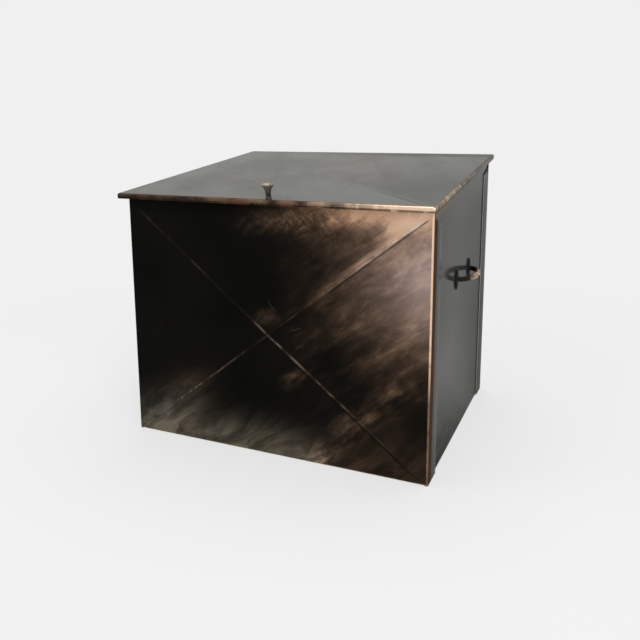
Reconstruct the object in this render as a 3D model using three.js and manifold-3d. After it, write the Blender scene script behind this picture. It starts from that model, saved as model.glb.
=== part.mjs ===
// Log storage box: a folded sheet steel body and a sloping lid on two butt hinges.
// Millimetres, +Z up, front towards -Y, origin on the floor under the middle of the whole box.
import * as THREE from 'three';
import { mergeVertices } from 'three/addons/utils/BufferGeometryUtils.js';
import Module from 'manifold-3d';

const wasm = await Module();
wasm.setup();

// Overall sizes of the body, over its outer faces
const bodyWidth = 500;
const bodyDepth = 400;
const frontHeight = 400;
const backHeight = 450;

// Clearance between pieces that touch, overrun of a cut, and overlap of a join
const seatGap = 0.3;
const cutOverrun = 5;
const joinOverlap = 0.5;

// Walls: sheet, folds, and the flanges at the corners, the mouth and the foot
const wallSheet = 1.5;
const wallFoldInside = 1.5;
const lapFlange = 42;
const lapReliefNear = 18;
const lapReliefFar = 30;
const mouthFlange = 10;
const footFlange = 15;

// Floor tray
const floorSheet = 1.5;
const floorFoldInside = 1.5;
const floorCornerInside = 2.5;
const floorLip = 12;

// Cross-break of the front panel: borders of the creased field, rise at its middle, and bead height
const creaseSide = 9;
const creaseHead = 18;
const creaseFoot = 6;
const creaseRise = 4;
const beadHeight = 0.9;

// Pressed beads: width, outline of half the section, and where they fade out towards the corners
const beadWidth = 3.6;
const beadShoulderShares = [0.55, 0.8];
const beadFadeShares = [[0.92, 0.1], [0.88, 0.75], [0.82, 1]];

// Lid: sheet, rim, overhangs past the body, and its shallow cross-break
const lidSheet = 1.5;
const lidFoldInside = 1.5;
const lidCornerInside = 2.5;
const lidRim = 8;
const lidRimClip = 4;
const lidFrontOverhang = 20;
const lidBackOverhang = 13;
const lidSideOverhang = 6.5;
const lidCreaseSide = 13;
const lidCreaseMargin = 1;
const lidCreaseRise = 2;
const lidBeadHeight = 0.5;

// Butt hinges
const hingeLength = 60;
const hingeInset = 100;
const hingeKnuckles = 5;
const knuckleRadius = 3.5;
const leafSheet = 1.5;
const leafCorner = 4;
const leafRivetCount = 3;
const leafRivetPitch = 20;
const leafRivetEdge = 9;
const leafRivetMargin = 1.5;
const pinHeadRadius = 2.9;
const pinHeadLength = 1.2;

// Rivets: shank, domed head, flush head and tail
const rivetRadius = 1.6;
const domeHeadRadius = 3;
const domeHeadHeight = 1.4;
const flushHeadRadius = 3.2;
const flushHeadHeight = 1.2;
const tailRadius = 2.6;
const tailHeight = 1;

// Knob, its screw and its washer
const knobOffset = 8;
const knobSetback = 12;
const knobHeight = 20.5;
const knobBaseRadius = 4.8;
const knobBaseHeight = 1.6;
const knobStemRadius = 3.8;
const knobNeckHeight = 8;
const knobHeadRadius = 8.7;
const knobHeadThickness = 2.2;
const knobDishRadius = 7;
const knobDishDepth = 3;
const knobBoreDepth = 10;
const knobScrewRadius = 2;
const knobScrewReach = 8;
const screwHeadRadius = 3.8;
const screwHeadHeight = 2.4;
const screwSlotWidth = 1;
const screwSlotDepth = 1.1;
const screwWasherRadius = 4.8;
const screwWasherSheet = 1;

// Handles: a forged bow with a pointed foot at each end
const handleCentres = 94;
const handleHeight = 269;
const bowReach = 27;
const barRadius = 4;
const barEndRadius = 3.2;
const barFlareRadius = 6.2;
const barFlareLength = 6;
const footHeight = 36;
const footWidth = 15;
const footThickness = 3;
const footTipShares = [0.3, 0.42];
const footBellyShares = [1, 0.4];
const footCrownShares = [[0, 1], [0.45, 1], [0.8, 0.86], [1, 0.6]];

// Studs, nuts and washers of the handles
const studRadius = 2.8;
const studTip = 1.5;
const nutFlats = 10;
const nutHeight = 4.5;
const washerRadius = 6.5;
const washerSheet = 1.2;

// Facets
const foldSteps = 3;
const roundSides = 12;
const turnedSides = 20;
const barSides = 10;
const barSteps = 20;
const curveSteps = 4;
const hexSides = 6;
const weldTolerance = 1e-4;

// Sizes of the body that follow from the ones above
const halfWidth = bodyWidth / 2;
const halfDepth = bodyDepth / 2;
const slope = (backHeight - frontHeight) / bodyDepth;
const tilt = Math.atan(slope);
const wallFold = wallFoldInside + wallSheet;
const sideOuter = halfWidth - wallSheet - seatGap;
const sideInner = sideOuter - wallSheet;
const sideEnd = halfDepth - wallFold;
const crossHalf = sideInner - seatGap;

// Pin line of the hinges: the body leaf lies on the back wall and the lid leaf under the lid
const pinBack = halfDepth + seatGap + knuckleRadius;
const pinHeight = seatAt(pinBack) - knuckleRadius / Math.cos(tilt);
const pinRadius = knuckleRadius - leafSheet - seatGap;
const leafDrop = leafSheet + seatGap;
const flangeEdge = (pinBack - halfDepth + mouthFlange) / Math.cos(tilt);
const leafRivetSetback = flangeEdge + tailRadius + leafRivetMargin;
const leafWidth = leafRivetSetback + leafRivetEdge;
const hingePlaces = [-1, 1].map((side) => side * (halfWidth - hingeInset));

// The lid in its own frame: origin on the pin line, Y up the slope, Z square to the sheet
const lidFold = lidFoldInside + lidSheet;
const lidUnder = knuckleRadius + seatGap;
const lidTop = lidUnder + lidSheet;
const lidLow = lidTop - lidRim;
const lidHalfWidth = halfWidth + lidSideOverhang;
const lidFrontRun = pinBack + halfDepth + lidFrontOverhang - (lidTop - lidFold) * Math.sin(tilt);
const lidFront = -lidFrontRun / Math.cos(tilt);
const lidNoseRun = halfDepth + lidBackOverhang - pinBack - lidSheet + lidUnder * Math.sin(tilt);
const lidNose = lidNoseRun / Math.cos(tilt);
const knobPlace = [knobOffset, lidFront + knobSetback];

const unitX = new THREE.Vector3(1, 0, 0);
const unitY = new THREE.Vector3(0, 1, 0);
const unitZ = new THREE.Vector3(0, 0, 1);

// Height of the sloping seat under the lid, at a distance y from the middle of the body
function seatAt(y) {
  return frontHeight + (y + halfDepth) * slope;
}

// Turns a closed geometry into a solid that can be cut and joined
function solidOf(geometry) {
  geometry.deleteAttribute('normal');
  geometry.deleteAttribute('uv');
  const merged = mergeVertices(geometry, weldTolerance);
  const corners = merged.index.array;
  const kept = [];
  for (let index = 0; index < corners.length; index += 3) {
    const [a, b, c] = corners.slice(index, index + 3);
    if (a !== b && b !== c && c !== a) kept.push(a, b, c);
  }
  const vertProperties = new Float32Array(merged.attributes.position.array);
  return new wasm.Manifold(new wasm.Mesh({ numProp: 3, vertProperties, triVerts: new Uint32Array(kept) }));
}

// Turns a solid back into a geometry
function geometryOf(solid) {
  const mesh = solid.getMesh();
  const geometry = new THREE.BufferGeometry();
  geometry.setAttribute('position', new THREE.BufferAttribute(new Float32Array(mesh.vertProperties), 3));
  geometry.setIndex(new THREE.BufferAttribute(new Uint32Array(mesh.triVerts), 1));
  return geometry;
}

function joined(solids) {
  return solids.reduce((whole, solid) => whole.add(solid));
}

function cutBy(solid, tools) {
  return tools.reduce((rest, tool) => rest.subtract(tool), solid);
}

// Box between its low and high corners
function block(low, high) {
  const geometry = new THREE.BoxGeometry(high[0] - low[0], high[1] - low[1], high[2] - low[2]);
  geometry.translate((low[0] + high[0]) / 2, (low[1] + high[1]) / 2, (low[2] + high[2]) / 2);
  return solidOf(geometry);
}

// Matrices that lay an extrusion along X, from an outline in y and z, or along Y, from one in x and z
function alongX(from) {
  return new THREE.Matrix4().makeBasis(unitY, unitZ, unitX).setPosition(from, 0, 0);
}

function alongY(to) {
  return new THREE.Matrix4().makeBasis(unitX, unitZ, unitY.clone().negate()).setPosition(0, to, 0);
}

function extruded(shape, length, placing) {
  const geometry = new THREE.ExtrudeGeometry(shape, {
    depth: length,
    bevelEnabled: false,
    curveSegments: curveSteps,
  });
  return solidOf(geometry.applyMatrix4(placing));
}

function extrudedX(shape, from, to) {
  return extruded(shape, to - from, alongX(from));
}

function extrudedY(shape, from, to) {
  return extruded(shape, to - from, alongY(to));
}

function polygon(points) {
  return new THREE.Shape(points.map(([a, b]) => new THREE.Vector2(a, b)));
}

// Cylinder along a direction, through a centre, between two places on its axis
function rod(radius, direction, centre, from, to, sides = roundSides) {
  const geometry = new THREE.CylinderGeometry(radius, radius, to - from, sides);
  geometry.translate(0, (from + to) / 2, 0);
  geometry.applyQuaternion(new THREE.Quaternion().setFromUnitVectors(unitY, direction));
  geometry.translate(...centre);
  return solidOf(geometry);
}

// Revolved piece about Z, from a profile of radius and height that runs upwards on its outer side
function turned(profile, sides = roundSides) {
  const points = profile.map(([radius, height]) => new THREE.Vector2(radius, height));
  const geometry = new THREE.LatheGeometry(points, sides);
  geometry.rotateX(Math.PI / 2);
  return solidOf(geometry);
}

// Skin through rings of points that turn right-handed about the way forward, closed at both ends
function loft(rings) {
  const count = rings[0].length;
  const middles = [rings[0], rings[rings.length - 1]].map((ring) => {
    const sum = ring.reduce((total, point) => total.add(point), new THREE.Vector3());
    return sum.divideScalar(count);
  });
  const points = [...rings.flat(), ...middles];
  const [first, last] = [points.length - 2, points.length - 1];
  const faces = [];
  for (let side = 0; side < count; side += 1) {
    const next = (side + 1) % count;
    const top = (rings.length - 1) * count;
    for (let low = 0; low < top; low += count) {
      faces.push(low + side, low + next, low + count + next);
      faces.push(low + side, low + count + next, low + count + side);
    }
    faces.push(first, next, side, last, top + side, top + next);
  }
  const geometry = new THREE.BufferGeometry().setFromPoints(points);
  geometry.setIndex(faces);
  return geometry;
}

// Offset of a path to its left, by one distance all along
function offsetLeft(path, distance) {
  return path.map((point, index) => {
    const before = path[index - 1] ?? point.clone().multiplyScalar(2).sub(path[index + 1]);
    const after = path[index + 1] ?? point.clone().multiplyScalar(2).sub(before);
    const into = point.clone().sub(before).normalize();
    const out = after.clone().sub(point).normalize();
    const side = new THREE.Vector2(-into.y - out.y, into.x + out.x);
    return side.multiplyScalar(distance / (1 + into.dot(out))).add(point);
  });
}

// The same path with its inner corners rounded; every corner turns left
function roundedPath(path, radius) {
  const points = [path[0]];
  for (let index = 1; index < path.length - 1; index += 1) {
    const corner = path[index];
    const into = corner.clone().sub(path[index - 1]).normalize();
    const out = path[index + 1].clone().sub(corner).normalize();
    const turn = Math.acos(into.dot(out));
    const left = new THREE.Vector2(-into.y, into.x);
    const start = corner.clone().addScaledVector(into, -radius * Math.tan(turn / 2));
    for (let step = 0; step <= foldSteps; step += 1) {
      const angle = (turn * step) / foldSteps;
      const point = start.clone().addScaledVector(into, radius * Math.sin(angle));
      points.push(point.addScaledVector(left, radius * (1 - Math.cos(angle))));
    }
  }
  points.push(path[path.length - 1]);
  return points;
}

// Section of a folded sheet, whose outer face runs through the corners and whose folds turn left
function foldedSheet(corners) {
  const path = corners.map(([a, b]) => new THREE.Vector2(a, b));
  const outer = roundedPath(path, wallFold);
  const inner = roundedPath(offsetLeft(path, wallSheet), wallFoldInside);
  return [...outer, ...inner.reverse()];
}

function mirrored(points, side) {
  return new THREE.Shape(points.map((point) => new THREE.Vector2(side * point.x, point.y)));
}

// Rectangle with round corners about the middle
function roundRectangle(halfX, halfY, radius) {
  const shape = new THREE.Shape();
  const x = halfX - radius;
  const y = halfY - radius;
  shape.moveTo(-x, -halfY);
  shape.absarc(x, -y, radius, -Math.PI / 2, 0, false);
  shape.absarc(x, y, radius, 0, Math.PI / 2, false);
  shape.absarc(-x, y, radius, Math.PI / 2, Math.PI, false);
  shape.absarc(-x, -y, radius, Math.PI, Math.PI * 1.5, false);
  return shape;
}

// Block on z = 0 with round upright corners and round edges at both ends
function softBlock(halfX, halfY, height, corner, edge) {
  const geometry = new THREE.ExtrudeGeometry(roundRectangle(halfX, halfY, corner), {
    depth: height - 2 * edge,
    bevelThickness: edge,
    bevelSize: edge,
    bevelOffset: -edge,
    bevelSegments: foldSteps,
    curveSegments: foldSteps,
  });
  return solidOf(geometry.translate(0, 0, edge));
}

// Low hipped roof over a rectangle in the XY plane, with a plinth under it
function hippedRoof(halfX, halfY, rise, plinth) {
  const field = [[-halfX, -halfY], [halfX, -halfY], [halfX, halfY], [-halfX, halfY]];
  const level = (height) => field.map(([x, y]) => new THREE.Vector3(x, y, height));
  const peak = field.map(() => new THREE.Vector3(0, 0, rise));
  return loft([level(-plinth), level(0), peak]);
}

// Bead along one hip of the roof, from where it fades out near the corner to just past the peak
function hipBead(cornerX, cornerY, rise, height, root) {
  const along = new THREE.Vector3(-cornerX, -cornerY, 0).normalize();
  const across = unitZ.clone().cross(along);
  const half = beadWidth / 2;
  const [shoulder, level] = [half * beadShoulderShares[0], height * beadShoulderShares[1]];
  const crown = [[half, 0], [shoulder, level], [0, height], [-shoulder, level], [-half, 0]];
  const ring = (centre, size) => {
    const at = (a, b) => centre.clone().addScaledVector(across, a * size).addScaledVector(unitZ, b);
    return [at(-half, -root), at(half, -root), ...crown.map(([a, b]) => at(a, b * size))];
  };
  const onHip = (share) => new THREE.Vector3(cornerX * share, cornerY * share, rise * (1 - share));
  const fading = beadFadeShares.map(([share, size]) => ring(onHip(share), size));
  const pastPeak = ring(onHip(0).addScaledVector(along, joinOverlap), 1);
  return loft([...fading, ring(onHip(0), 1), pastPeak]);
}

// Cross-breaks a sheet whose outer face is z = 0 of the placing: form outside, the same form behind
function crossBroken(sheet, placing, halfX, halfY, rise, height, thickness) {
  const behind = placing.clone().multiply(new THREE.Matrix4().makeTranslation(0, 0, -thickness));
  const corners = [[halfX, halfY], [-halfX, halfY], [-halfX, -halfY], [halfX, -halfY]];
  const form = (matrix) => joined([
    hippedRoof(halfX, halfY, rise, joinOverlap),
    ...corners.map(([x, y]) => hipBead(x, y, rise, height, joinOverlap)),
  ].map((geometry) => solidOf(geometry.applyMatrix4(matrix))));
  return sheet.add(form(placing)).subtract(form(behind));
}

// Room above the sloping seat, lowered by a drop square to it
function aboveSeat(drop) {
  const reach = halfDepth + cutOverrun;
  const low = drop / Math.cos(tilt);
  const roof = backHeight + bodyDepth;
  const side = polygon([
    [-reach, seatAt(-reach) - low],
    [reach, seatAt(reach) - low],
    [reach, roof],
    [-reach, roof],
  ]);
  return extrudedX(side, -halfWidth - cutOverrun, halfWidth + cutOverrun);
}

// Cut that slants down along the laps, clear of the lid rim, in a wall whose mouth is at top
function lapRelief(facing, top) {
  const start = halfDepth - wallFold;
  const end = halfDepth - lapFlange;
  const grade = (lapReliefFar - lapReliefNear) / (start - end);
  const past = end - cutOverrun;
  const roof = top + lapFlange + cutOverrun;
  const side = polygon([
    [facing * start, top - lapReliefNear],
    [facing * past, top - lapReliefFar - cutOverrun * grade],
    [facing * past, roof],
    [facing * start, roof],
  ]);
  return extrudedX(side, -halfWidth - cutOverrun, halfWidth + cutOverrun);
}

// Front wall (facing -1) or back wall (facing 1), with laps, mouth flange and foot flange
function endWall(facing, topDrop) {
  const outer = facing * halfDepth;
  const lapEnd = facing * (halfDepth - lapFlange);
  const top = seatAt(outer) - topDrop / Math.cos(tilt);
  const plan = foldedSheet([
    [facing * halfWidth, lapEnd],
    [facing * halfWidth, outer],
    [-facing * halfWidth, outer],
    [-facing * halfWidth, lapEnd],
  ]);
  const mouthEnd = [
    outer - facing * mouthFlange * Math.cos(tilt),
    top - facing * mouthFlange * Math.sin(tilt),
  ];
  const rise = [mouthEnd, [outer, top], [outer, 0], [outer - facing * footFlange, 0]];
  const section = foldedSheet(facing < 0 ? rise : rise.reverse());
  const deep = halfDepth + cutOverrun;
  const roof = top + lapFlange + cutOverrun;
  const lapped = cutBy(extruded(new THREE.Shape(plan), top + lapFlange, new THREE.Matrix4()), [
    aboveSeat(topDrop),
    block([-crossHalf, -deep, top - wallFold], [crossHalf, deep, roof]),
    block([-crossHalf, -deep, -cutOverrun], [crossHalf, deep, wallFold]),
    lapRelief(facing, top),
  ]);
  return lapped.add(extrudedX(new THREE.Shape(section), -crossHalf, crossHalf));
}

function frontPanel() {
  const halfHigh = (frontHeight - creaseHead - creaseFoot) / 2;
  const placing = new THREE.Matrix4().makeBasis(unitX, unitZ, unitY.clone().negate());
  placing.setPosition(0, -halfDepth, creaseFoot + halfHigh);
  const halfWide = halfWidth - creaseSide;
  return crossBroken(endWall(-1, 0), placing, halfWide, halfHigh, creaseRise, beadHeight, wallSheet);
}

// Places of the rivets along one hinge
function rivetPlaces() {
  const middle = (leafRivetCount - 1) / 2;
  return Array.from({ length: leafRivetCount }, (_, index) => (index - middle) * leafRivetPitch);
}

function backPanel() {
  const height = pinHeight - leafRivetSetback;
  const [from, to] = [halfDepth - wallSheet - cutOverrun, halfDepth + cutOverrun];
  const holes = hingePlaces.flatMap((hinge) => rivetPlaces().map(
    (place) => rod(rivetRadius + seatGap, unitY, [hinge + place, 0, height], from, to),
  ));
  return cutBy(endWall(1, leafDrop), holes);
}

// Side wall: side is -1 on the left and 1 on the right
function sidePanel(side) {
  const span = (inner, outer) => (side > 0 ? [inner, outer] : [-outer, -inner]);
  const foot = foldedSheet([
    [sideOuter - footFlange, 0],
    [sideOuter, 0],
    [sideOuter, wallFold + joinOverlap],
  ]);
  const mouth = foldedSheet([
    [sideOuter, -wallFold - joinOverlap],
    [sideOuter, 0],
    [sideOuter - mouthFlange, 0],
  ]);
  const webTop = (y) => seatAt(y) - wallFold / Math.cos(tilt);
  const web = polygon([
    [-sideEnd, wallFold],
    [sideEnd, wallFold],
    [sideEnd, webTop(sideEnd)],
    [-sideEnd, webTop(-sideEnd)],
  ]);
  const slopeRun = bodyDepth / Math.cos(tilt);
  const onSeat = new THREE.Matrix4().makeTranslation(0, -halfDepth, frontHeight);
  onSeat.multiply(new THREE.Matrix4().makeRotationX(tilt)).multiply(alongY(slopeRun + cutOverrun));
  const body = joined([
    extrudedX(web, ...span(sideInner, sideOuter)),
    extrudedY(mirrored(foot, side), -sideEnd, sideEnd),
    extruded(mirrored(mouth, side), slopeRun + 2 * cutOverrun, onSeat),
  ]);
  const roof = backHeight + bodyDepth;
  const [low, high] = span(0, halfWidth);
  const [inner, outer] = span(0, sideInner);
  const middle = frontHeight / 2;
  const trims = [-1, 1].flatMap((end) => {
    const beyond = (near) => (end > 0 ? [near, bodyDepth] : [-bodyDepth, -near]);
    const [endFrom, endTo] = beyond(sideEnd);
    const [mouthFrom, mouthTo] = beyond(halfDepth - mouthFlange - seatGap);
    const [footFrom, footTo] = beyond(halfDepth - footFlange - seatGap);
    const stud = [0, (end * handleCentres) / 2, handleHeight];
    return [
      block([low, endFrom, -cutOverrun], [high, endTo, roof]),
      block([inner, mouthFrom, middle], [outer, mouthTo, roof]),
      block([inner, footFrom, -cutOverrun], [outer, footTo, middle]),
      rod(studRadius + seatGap, unitX, stud, ...span(sideInner - cutOverrun, sideOuter + cutOverrun)),
    ];
  });
  return cutBy(body, trims);
}

// Tray that lies on the foot flanges
function bottomPanel() {
  const low = wallSheet + seatGap;
  const halfX = sideInner - seatGap;
  const halfY = halfDepth - wallSheet - seatGap;
  const corner = floorCornerInside + floorSheet;
  const edge = floorFoldInside + floorSheet;
  const tall = floorLip + 2 * edge;
  const outside = softBlock(halfX, halfY, tall, corner, edge);
  const inside = softBlock(
    halfX - floorSheet,
    halfY - floorSheet,
    tall,
    floorCornerInside,
    floorFoldInside,
  );
  const above = block([-halfWidth, -halfDepth, floorLip], [halfWidth, halfDepth, tall + cutOverrun]);
  return outside.subtract(inside.translate([0, 0, floorSheet])).subtract(above).translate([0, 0, low]);
}

// Countersunk hole for a flush rivet, down from z = 0
function flushHole() {
  const hole = rivetRadius + seatGap;
  const head = flushHeadRadius + seatGap;
  return turned([
    [0, -lidSheet - cutOverrun],
    [hole, -lidSheet - cutOverrun],
    [hole, -flushHeadHeight],
    [head, 0],
    [head, cutOverrun],
    [0, cutOverrun],
  ]);
}

// Lid in its own frame: a pan with a rim at the front and sides and a flat hem along the back
function lidPanel() {
  const long = lidNose - lidFront + 2 * lidFold;
  const middleY = lidFront + long / 2;
  const tall = lidRim + 2 * lidFold;
  const corner = lidCornerInside + lidSheet;
  const outside = softBlock(lidHalfWidth, long / 2, tall, corner, lidFold);
  const inside = softBlock(
    lidHalfWidth - lidSheet,
    long / 2 - lidSheet,
    tall,
    lidCornerInside,
    lidFoldInside,
  );
  const outer = outside.translate([0, middleY, lidTop - tall]);
  const pan = outer.subtract(inside.translate([0, middleY, lidUnder - tall]));
  const wide = lidHalfWidth + cutOverrun;
  const far = lidNose + long;
  const rimEnd = polygon([
    [lidNose - lidRimClip - cutOverrun, lidLow - cutOverrun],
    [lidNose + cutOverrun, lidLow - cutOverrun],
    [lidNose + cutOverrun, lidLow + lidRimClip + cutOverrun],
  ]);
  const trimmed = cutBy(pan, [
    block([-wide, lidFront - cutOverrun, lidTop - 2 * tall], [wide, far, lidLow]),
    block([-wide, lidNose, lidTop - 2 * tall], [wide, far, lidTop + cutOverrun]),
    extrudedX(rimEnd, -wide, wide),
  ]);
  const hemStart = knuckleRadius + seatGap;
  const hem = new THREE.Shape();
  hem.moveTo(hemStart, lidTop);
  hem.lineTo(hemStart, lidUnder - lidSheet);
  hem.absarc(lidNose, lidUnder, lidSheet, -Math.PI / 2, Math.PI / 2, false);
  const hemmed = trimmed.add(extrudedX(hem, lidFold - lidHalfWidth, lidHalfWidth - lidFold));
  const creaseFront = lidFront + lidFold + lidCreaseMargin;
  const creaseBack = -leafRivetSetback - flushHeadRadius - lidCreaseMargin;
  const placing = new THREE.Matrix4().makeTranslation(0, (creaseFront + creaseBack) / 2, lidTop);
  const broken = crossBroken(
    hemmed,
    placing,
    lidHalfWidth - lidCreaseSide,
    (creaseBack - creaseFront) / 2,
    lidCreaseRise,
    lidBeadHeight,
    lidSheet,
  );
  const rivetHoles = hingePlaces.flatMap((hinge) => rivetPlaces().map(
    (place) => flushHole().translate([hinge + place, -leafRivetSetback, lidTop]),
  ));
  const screwHole = rod(knobScrewRadius + seatGap, unitZ, [...knobPlace, 0], lidLow, lidTop + cutOverrun);
  return cutBy(broken, [...rivetHoles, screwHole]);
}

// Hinge leaf about a pin on X: the plate runs towards -Y, its outer face level with the knuckles
function hingeLeaf(firstKnuckle) {
  const half = hingeLength / 2;
  const near = -knuckleRadius - seatGap;
  const inner = knuckleRadius - leafSheet;
  const plate = new THREE.Shape();
  plate.moveTo(half, near);
  plate.lineTo(-half, near);
  plate.absarc(leafCorner - half, leafCorner - leafWidth, leafCorner, Math.PI, Math.PI * 1.5, false);
  plate.absarc(half - leafCorner, leafCorner - leafWidth, leafCorner, Math.PI * 1.5, Math.PI * 2, false);
  const pieces = [extruded(plate, leafSheet, new THREE.Matrix4().makeTranslation(0, 0, inner))];
  const pitch = hingeLength / hingeKnuckles;
  for (let knuckle = firstKnuckle; knuckle < hingeKnuckles; knuckle += 2) {
    const from = knuckle * pitch - half + seatGap / 2;
    const to = from + pitch - seatGap;
    const tab = block([from, near - joinOverlap, inner], [to, 0, knuckleRadius]);
    pieces.push(tab, rod(knuckleRadius, unitX, [0, 0, 0], from, to));
  }
  const bore = rod(pinRadius + seatGap, unitX, [0, 0, 0], -half - cutOverrun, half + cutOverrun);
  const past = knuckleRadius + cutOverrun;
  const holes = rivetPlaces().map(
    (place) => rod(rivetRadius + seatGap, unitZ, [place, -leafRivetSetback, 0], 0, past),
  );
  return cutBy(joined(pieces), [bore, ...holes]);
}

// Hinge pin about Z, with its head at the low end
function hingePin() {
  const headFace = -hingeLength / 2 - seatGap;
  const tip = hingeLength / 2 + seatGap;
  return turned([
    [0, headFace - pinHeadLength],
    [pinHeadRadius, headFace - pinHeadLength],
    [pinHeadRadius, headFace],
    [pinRadius, headFace],
    [pinRadius, tip],
    [0, tip],
  ]);
}

// Quarter of an ellipse from the rim of a head to its crown
function dome(radius, height, from) {
  return Array.from({ length: foldSteps + 1 }, (_, step) => {
    const angle = (Math.PI / 2) * (step / foldSteps);
    return [step < foldSteps ? radius * Math.cos(angle) : 0, from + height * Math.sin(angle)];
  });
}

// Rivet about Z, whose tail starts at -grip and whose upper end follows head
function rivet(grip, head) {
  return turned([
    [0, -grip - tailHeight],
    [tailRadius, -grip - tailHeight],
    [tailRadius, -grip],
    [rivetRadius, -grip],
    ...head,
  ]);
}

function domeRivet() {
  const grip = wallSheet + leafSheet + 3 * seatGap;
  return rivet(grip, [[rivetRadius, 0], ...dome(domeHeadRadius, domeHeadHeight, 0)]);
}

function flushRivet() {
  const grip = lidSheet + leafSheet + 2 * seatGap;
  return rivet(grip, [[rivetRadius, -flushHeadHeight], [flushHeadRadius, 0], [0, 0]]);
}

// Trumpet knob about Z, standing on z = 0, with a blind bore for its screw
function lidKnob() {
  const headLow = knobHeight - knobHeadThickness;
  const flare = new THREE.QuadraticBezierCurve(
    new THREE.Vector2(knobStemRadius, knobNeckHeight),
    new THREE.Vector2(knobStemRadius, (knobNeckHeight + headLow) / 2),
    new THREE.Vector2(knobHeadRadius, headLow),
  );
  const dish = new THREE.QuadraticBezierCurve(
    new THREE.Vector2(knobDishRadius, knobHeight),
    new THREE.Vector2(knobDishRadius / 2, knobHeight - knobDishDepth),
    new THREE.Vector2(0, knobHeight - knobDishDepth),
  );
  const body = turned([
    [0, 0],
    [knobBaseRadius, 0],
    [knobBaseRadius, knobBaseHeight / 2],
    [knobStemRadius, knobBaseHeight],
    ...flare.getPoints(curveSteps).map((point) => [point.x, point.y]),
    [knobHeadRadius, (headLow + knobHeight) / 2],
    ...dish.getPoints(curveSteps).map((point) => [point.x, point.y]),
  ], turnedSides);
  return body.subtract(rod(knobScrewRadius + seatGap, unitZ, [0, 0, 0], -cutOverrun, knobBoreDepth));
}

// Screw about Z, head face on z = 0, slotted from below
function knobScrew() {
  const reach = 2 * seatGap + screwWasherSheet + lidSheet + seatGap + knobScrewReach;
  const body = turned([
    [0, -screwHeadHeight],
    [screwHeadRadius, -screwHeadHeight / 2],
    [screwHeadRadius, 0],
    [knobScrewRadius, 0],
    [knobScrewRadius, reach],
    [0, reach],
  ]);
  const slot = block(
    [-screwHeadRadius - cutOverrun, -screwSlotWidth / 2, -screwHeadHeight - cutOverrun],
    [screwHeadRadius + cutOverrun, screwSlotWidth / 2, screwSlotDepth - screwHeadHeight],
  );
  return body.subtract(slot);
}

// Flat ring on z = 0
function washer(bore, radius, sheet) {
  return turned([[bore, 0], [radius, 0], [radius, sheet], [bore, sheet], [bore, 0]]);
}

function handleNut() {
  const corners = nutFlats / 2 / Math.cos(Math.PI / hexSides);
  const body = rod(corners, unitZ, [0, 0, 0], 0, nutHeight, hexSides);
  return body.subtract(rod(studRadius + seatGap, unitZ, [0, 0, 0], -cutOverrun, nutHeight + cutOverrun));
}

// Pointed foot on the plane x = 0, crowned towards +X
function handleFoot(centreY) {
  const [a, b] = [footWidth / 2, footHeight / 2];
  const outline = new THREE.Shape();
  outline.moveTo(a, 0);
  [[1, 1], [-1, 1], [-1, -1], [1, -1]].forEach(([sideY, sideZ]) => {
    const belly = [sideY * a * footBellyShares[0], sideZ * b * footBellyShares[1]];
    const tip = [sideY * a * footTipShares[0], sideZ * b * footTipShares[1]];
    const rising = sideY * sideZ > 0;
    const [first, second] = rising ? [belly, tip] : [tip, belly];
    const end = rising ? [0, sideZ * b] : [sideY * a, 0];
    outline.bezierCurveTo(...first, ...second, ...end);
  });
  const points = outline.getPoints(curveSteps).slice(1);
  return loft(footCrownShares.map(([level, size]) => points.map(
    (point) => new THREE.Vector3(level * footThickness, centreY + point.x * size, point.y * size),
  )));
}

// Bow in the level plane, a half ellipse that leaves the feet square and flares into them
function handleBow() {
  const reach = bowReach - barRadius - joinOverlap;
  const half = handleCentres / 2;
  const rings = Array.from({ length: barSteps + 1 }, (_, step) => {
    const angle = (Math.PI * step) / barSteps;
    const centre = new THREE.Vector3(joinOverlap + reach * Math.sin(angle), -half * Math.cos(angle), 0);
    const forward = new THREE.Vector3(reach * Math.cos(angle), half * Math.sin(angle), 0).normalize();
    const across = unitZ.clone().cross(forward);
    const swell = barEndRadius + (barRadius - barEndRadius) * Math.sin(angle);
    const flare = (barFlareRadius - barEndRadius) * Math.max(0, 1 - centre.x / barFlareLength) ** 2;
    return Array.from({ length: barSides }, (__, side) => {
      const turn = (2 * Math.PI * side) / barSides;
      const radius = swell + flare;
      return centre.clone()
        .addScaledVector(across, radius * Math.cos(turn))
        .addScaledVector(unitZ, radius * Math.sin(turn));
    });
  });
  return loft(rings);
}

// Handle on the plane x = 0, with its studs towards -X
function handle() {
  const studEnd = seatGap + wallSheet + seatGap + washerSheet + seatGap + nutHeight + studTip;
  const ends = [-1, 1].flatMap((end) => {
    const centreY = (end * handleCentres) / 2;
    return [solidOf(handleFoot(centreY)), rod(studRadius, unitX, [0, centreY, 0], -studEnd, joinOverlap)];
  });
  return joined([solidOf(handleBow()), ...ends]);
}

// Finishes: colour, roughness and metalness
const patina = { color: 0x45382f, roughness: 0.45, metalness: 0.7 };
const dark = { color: 0x3f403e, roughness: 0.35, metalness: 0.6 };
const copper = { color: 0x8a5f44, roughness: 0.4, metalness: 0.85 };
const zinc = { color: 0xa2a4a3, roughness: 0.4, metalness: 0.9 };

function piece(name, solid, finish) {
  const material = new THREE.MeshStandardMaterial({ ...finish, flatShading: true });
  const mesh = new THREE.Mesh(geometryOf(solid), material);
  mesh.name = name;
  return mesh;
}

// Puts a piece in its parent: its place, then its turn about X, Y and Z
function placed(mesh, place, turn = [0, 0, 0]) {
  mesh.position.set(...place);
  mesh.rotation.set(...turn);
  return mesh;
}

const box = new THREE.Group();
const lid = new THREE.Group();
box.position.y = (lidFrontOverhang - lidBackOverhang) / 2;
placed(lid, [0, pinBack, pinHeight], [tilt, 0, 0]);

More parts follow.
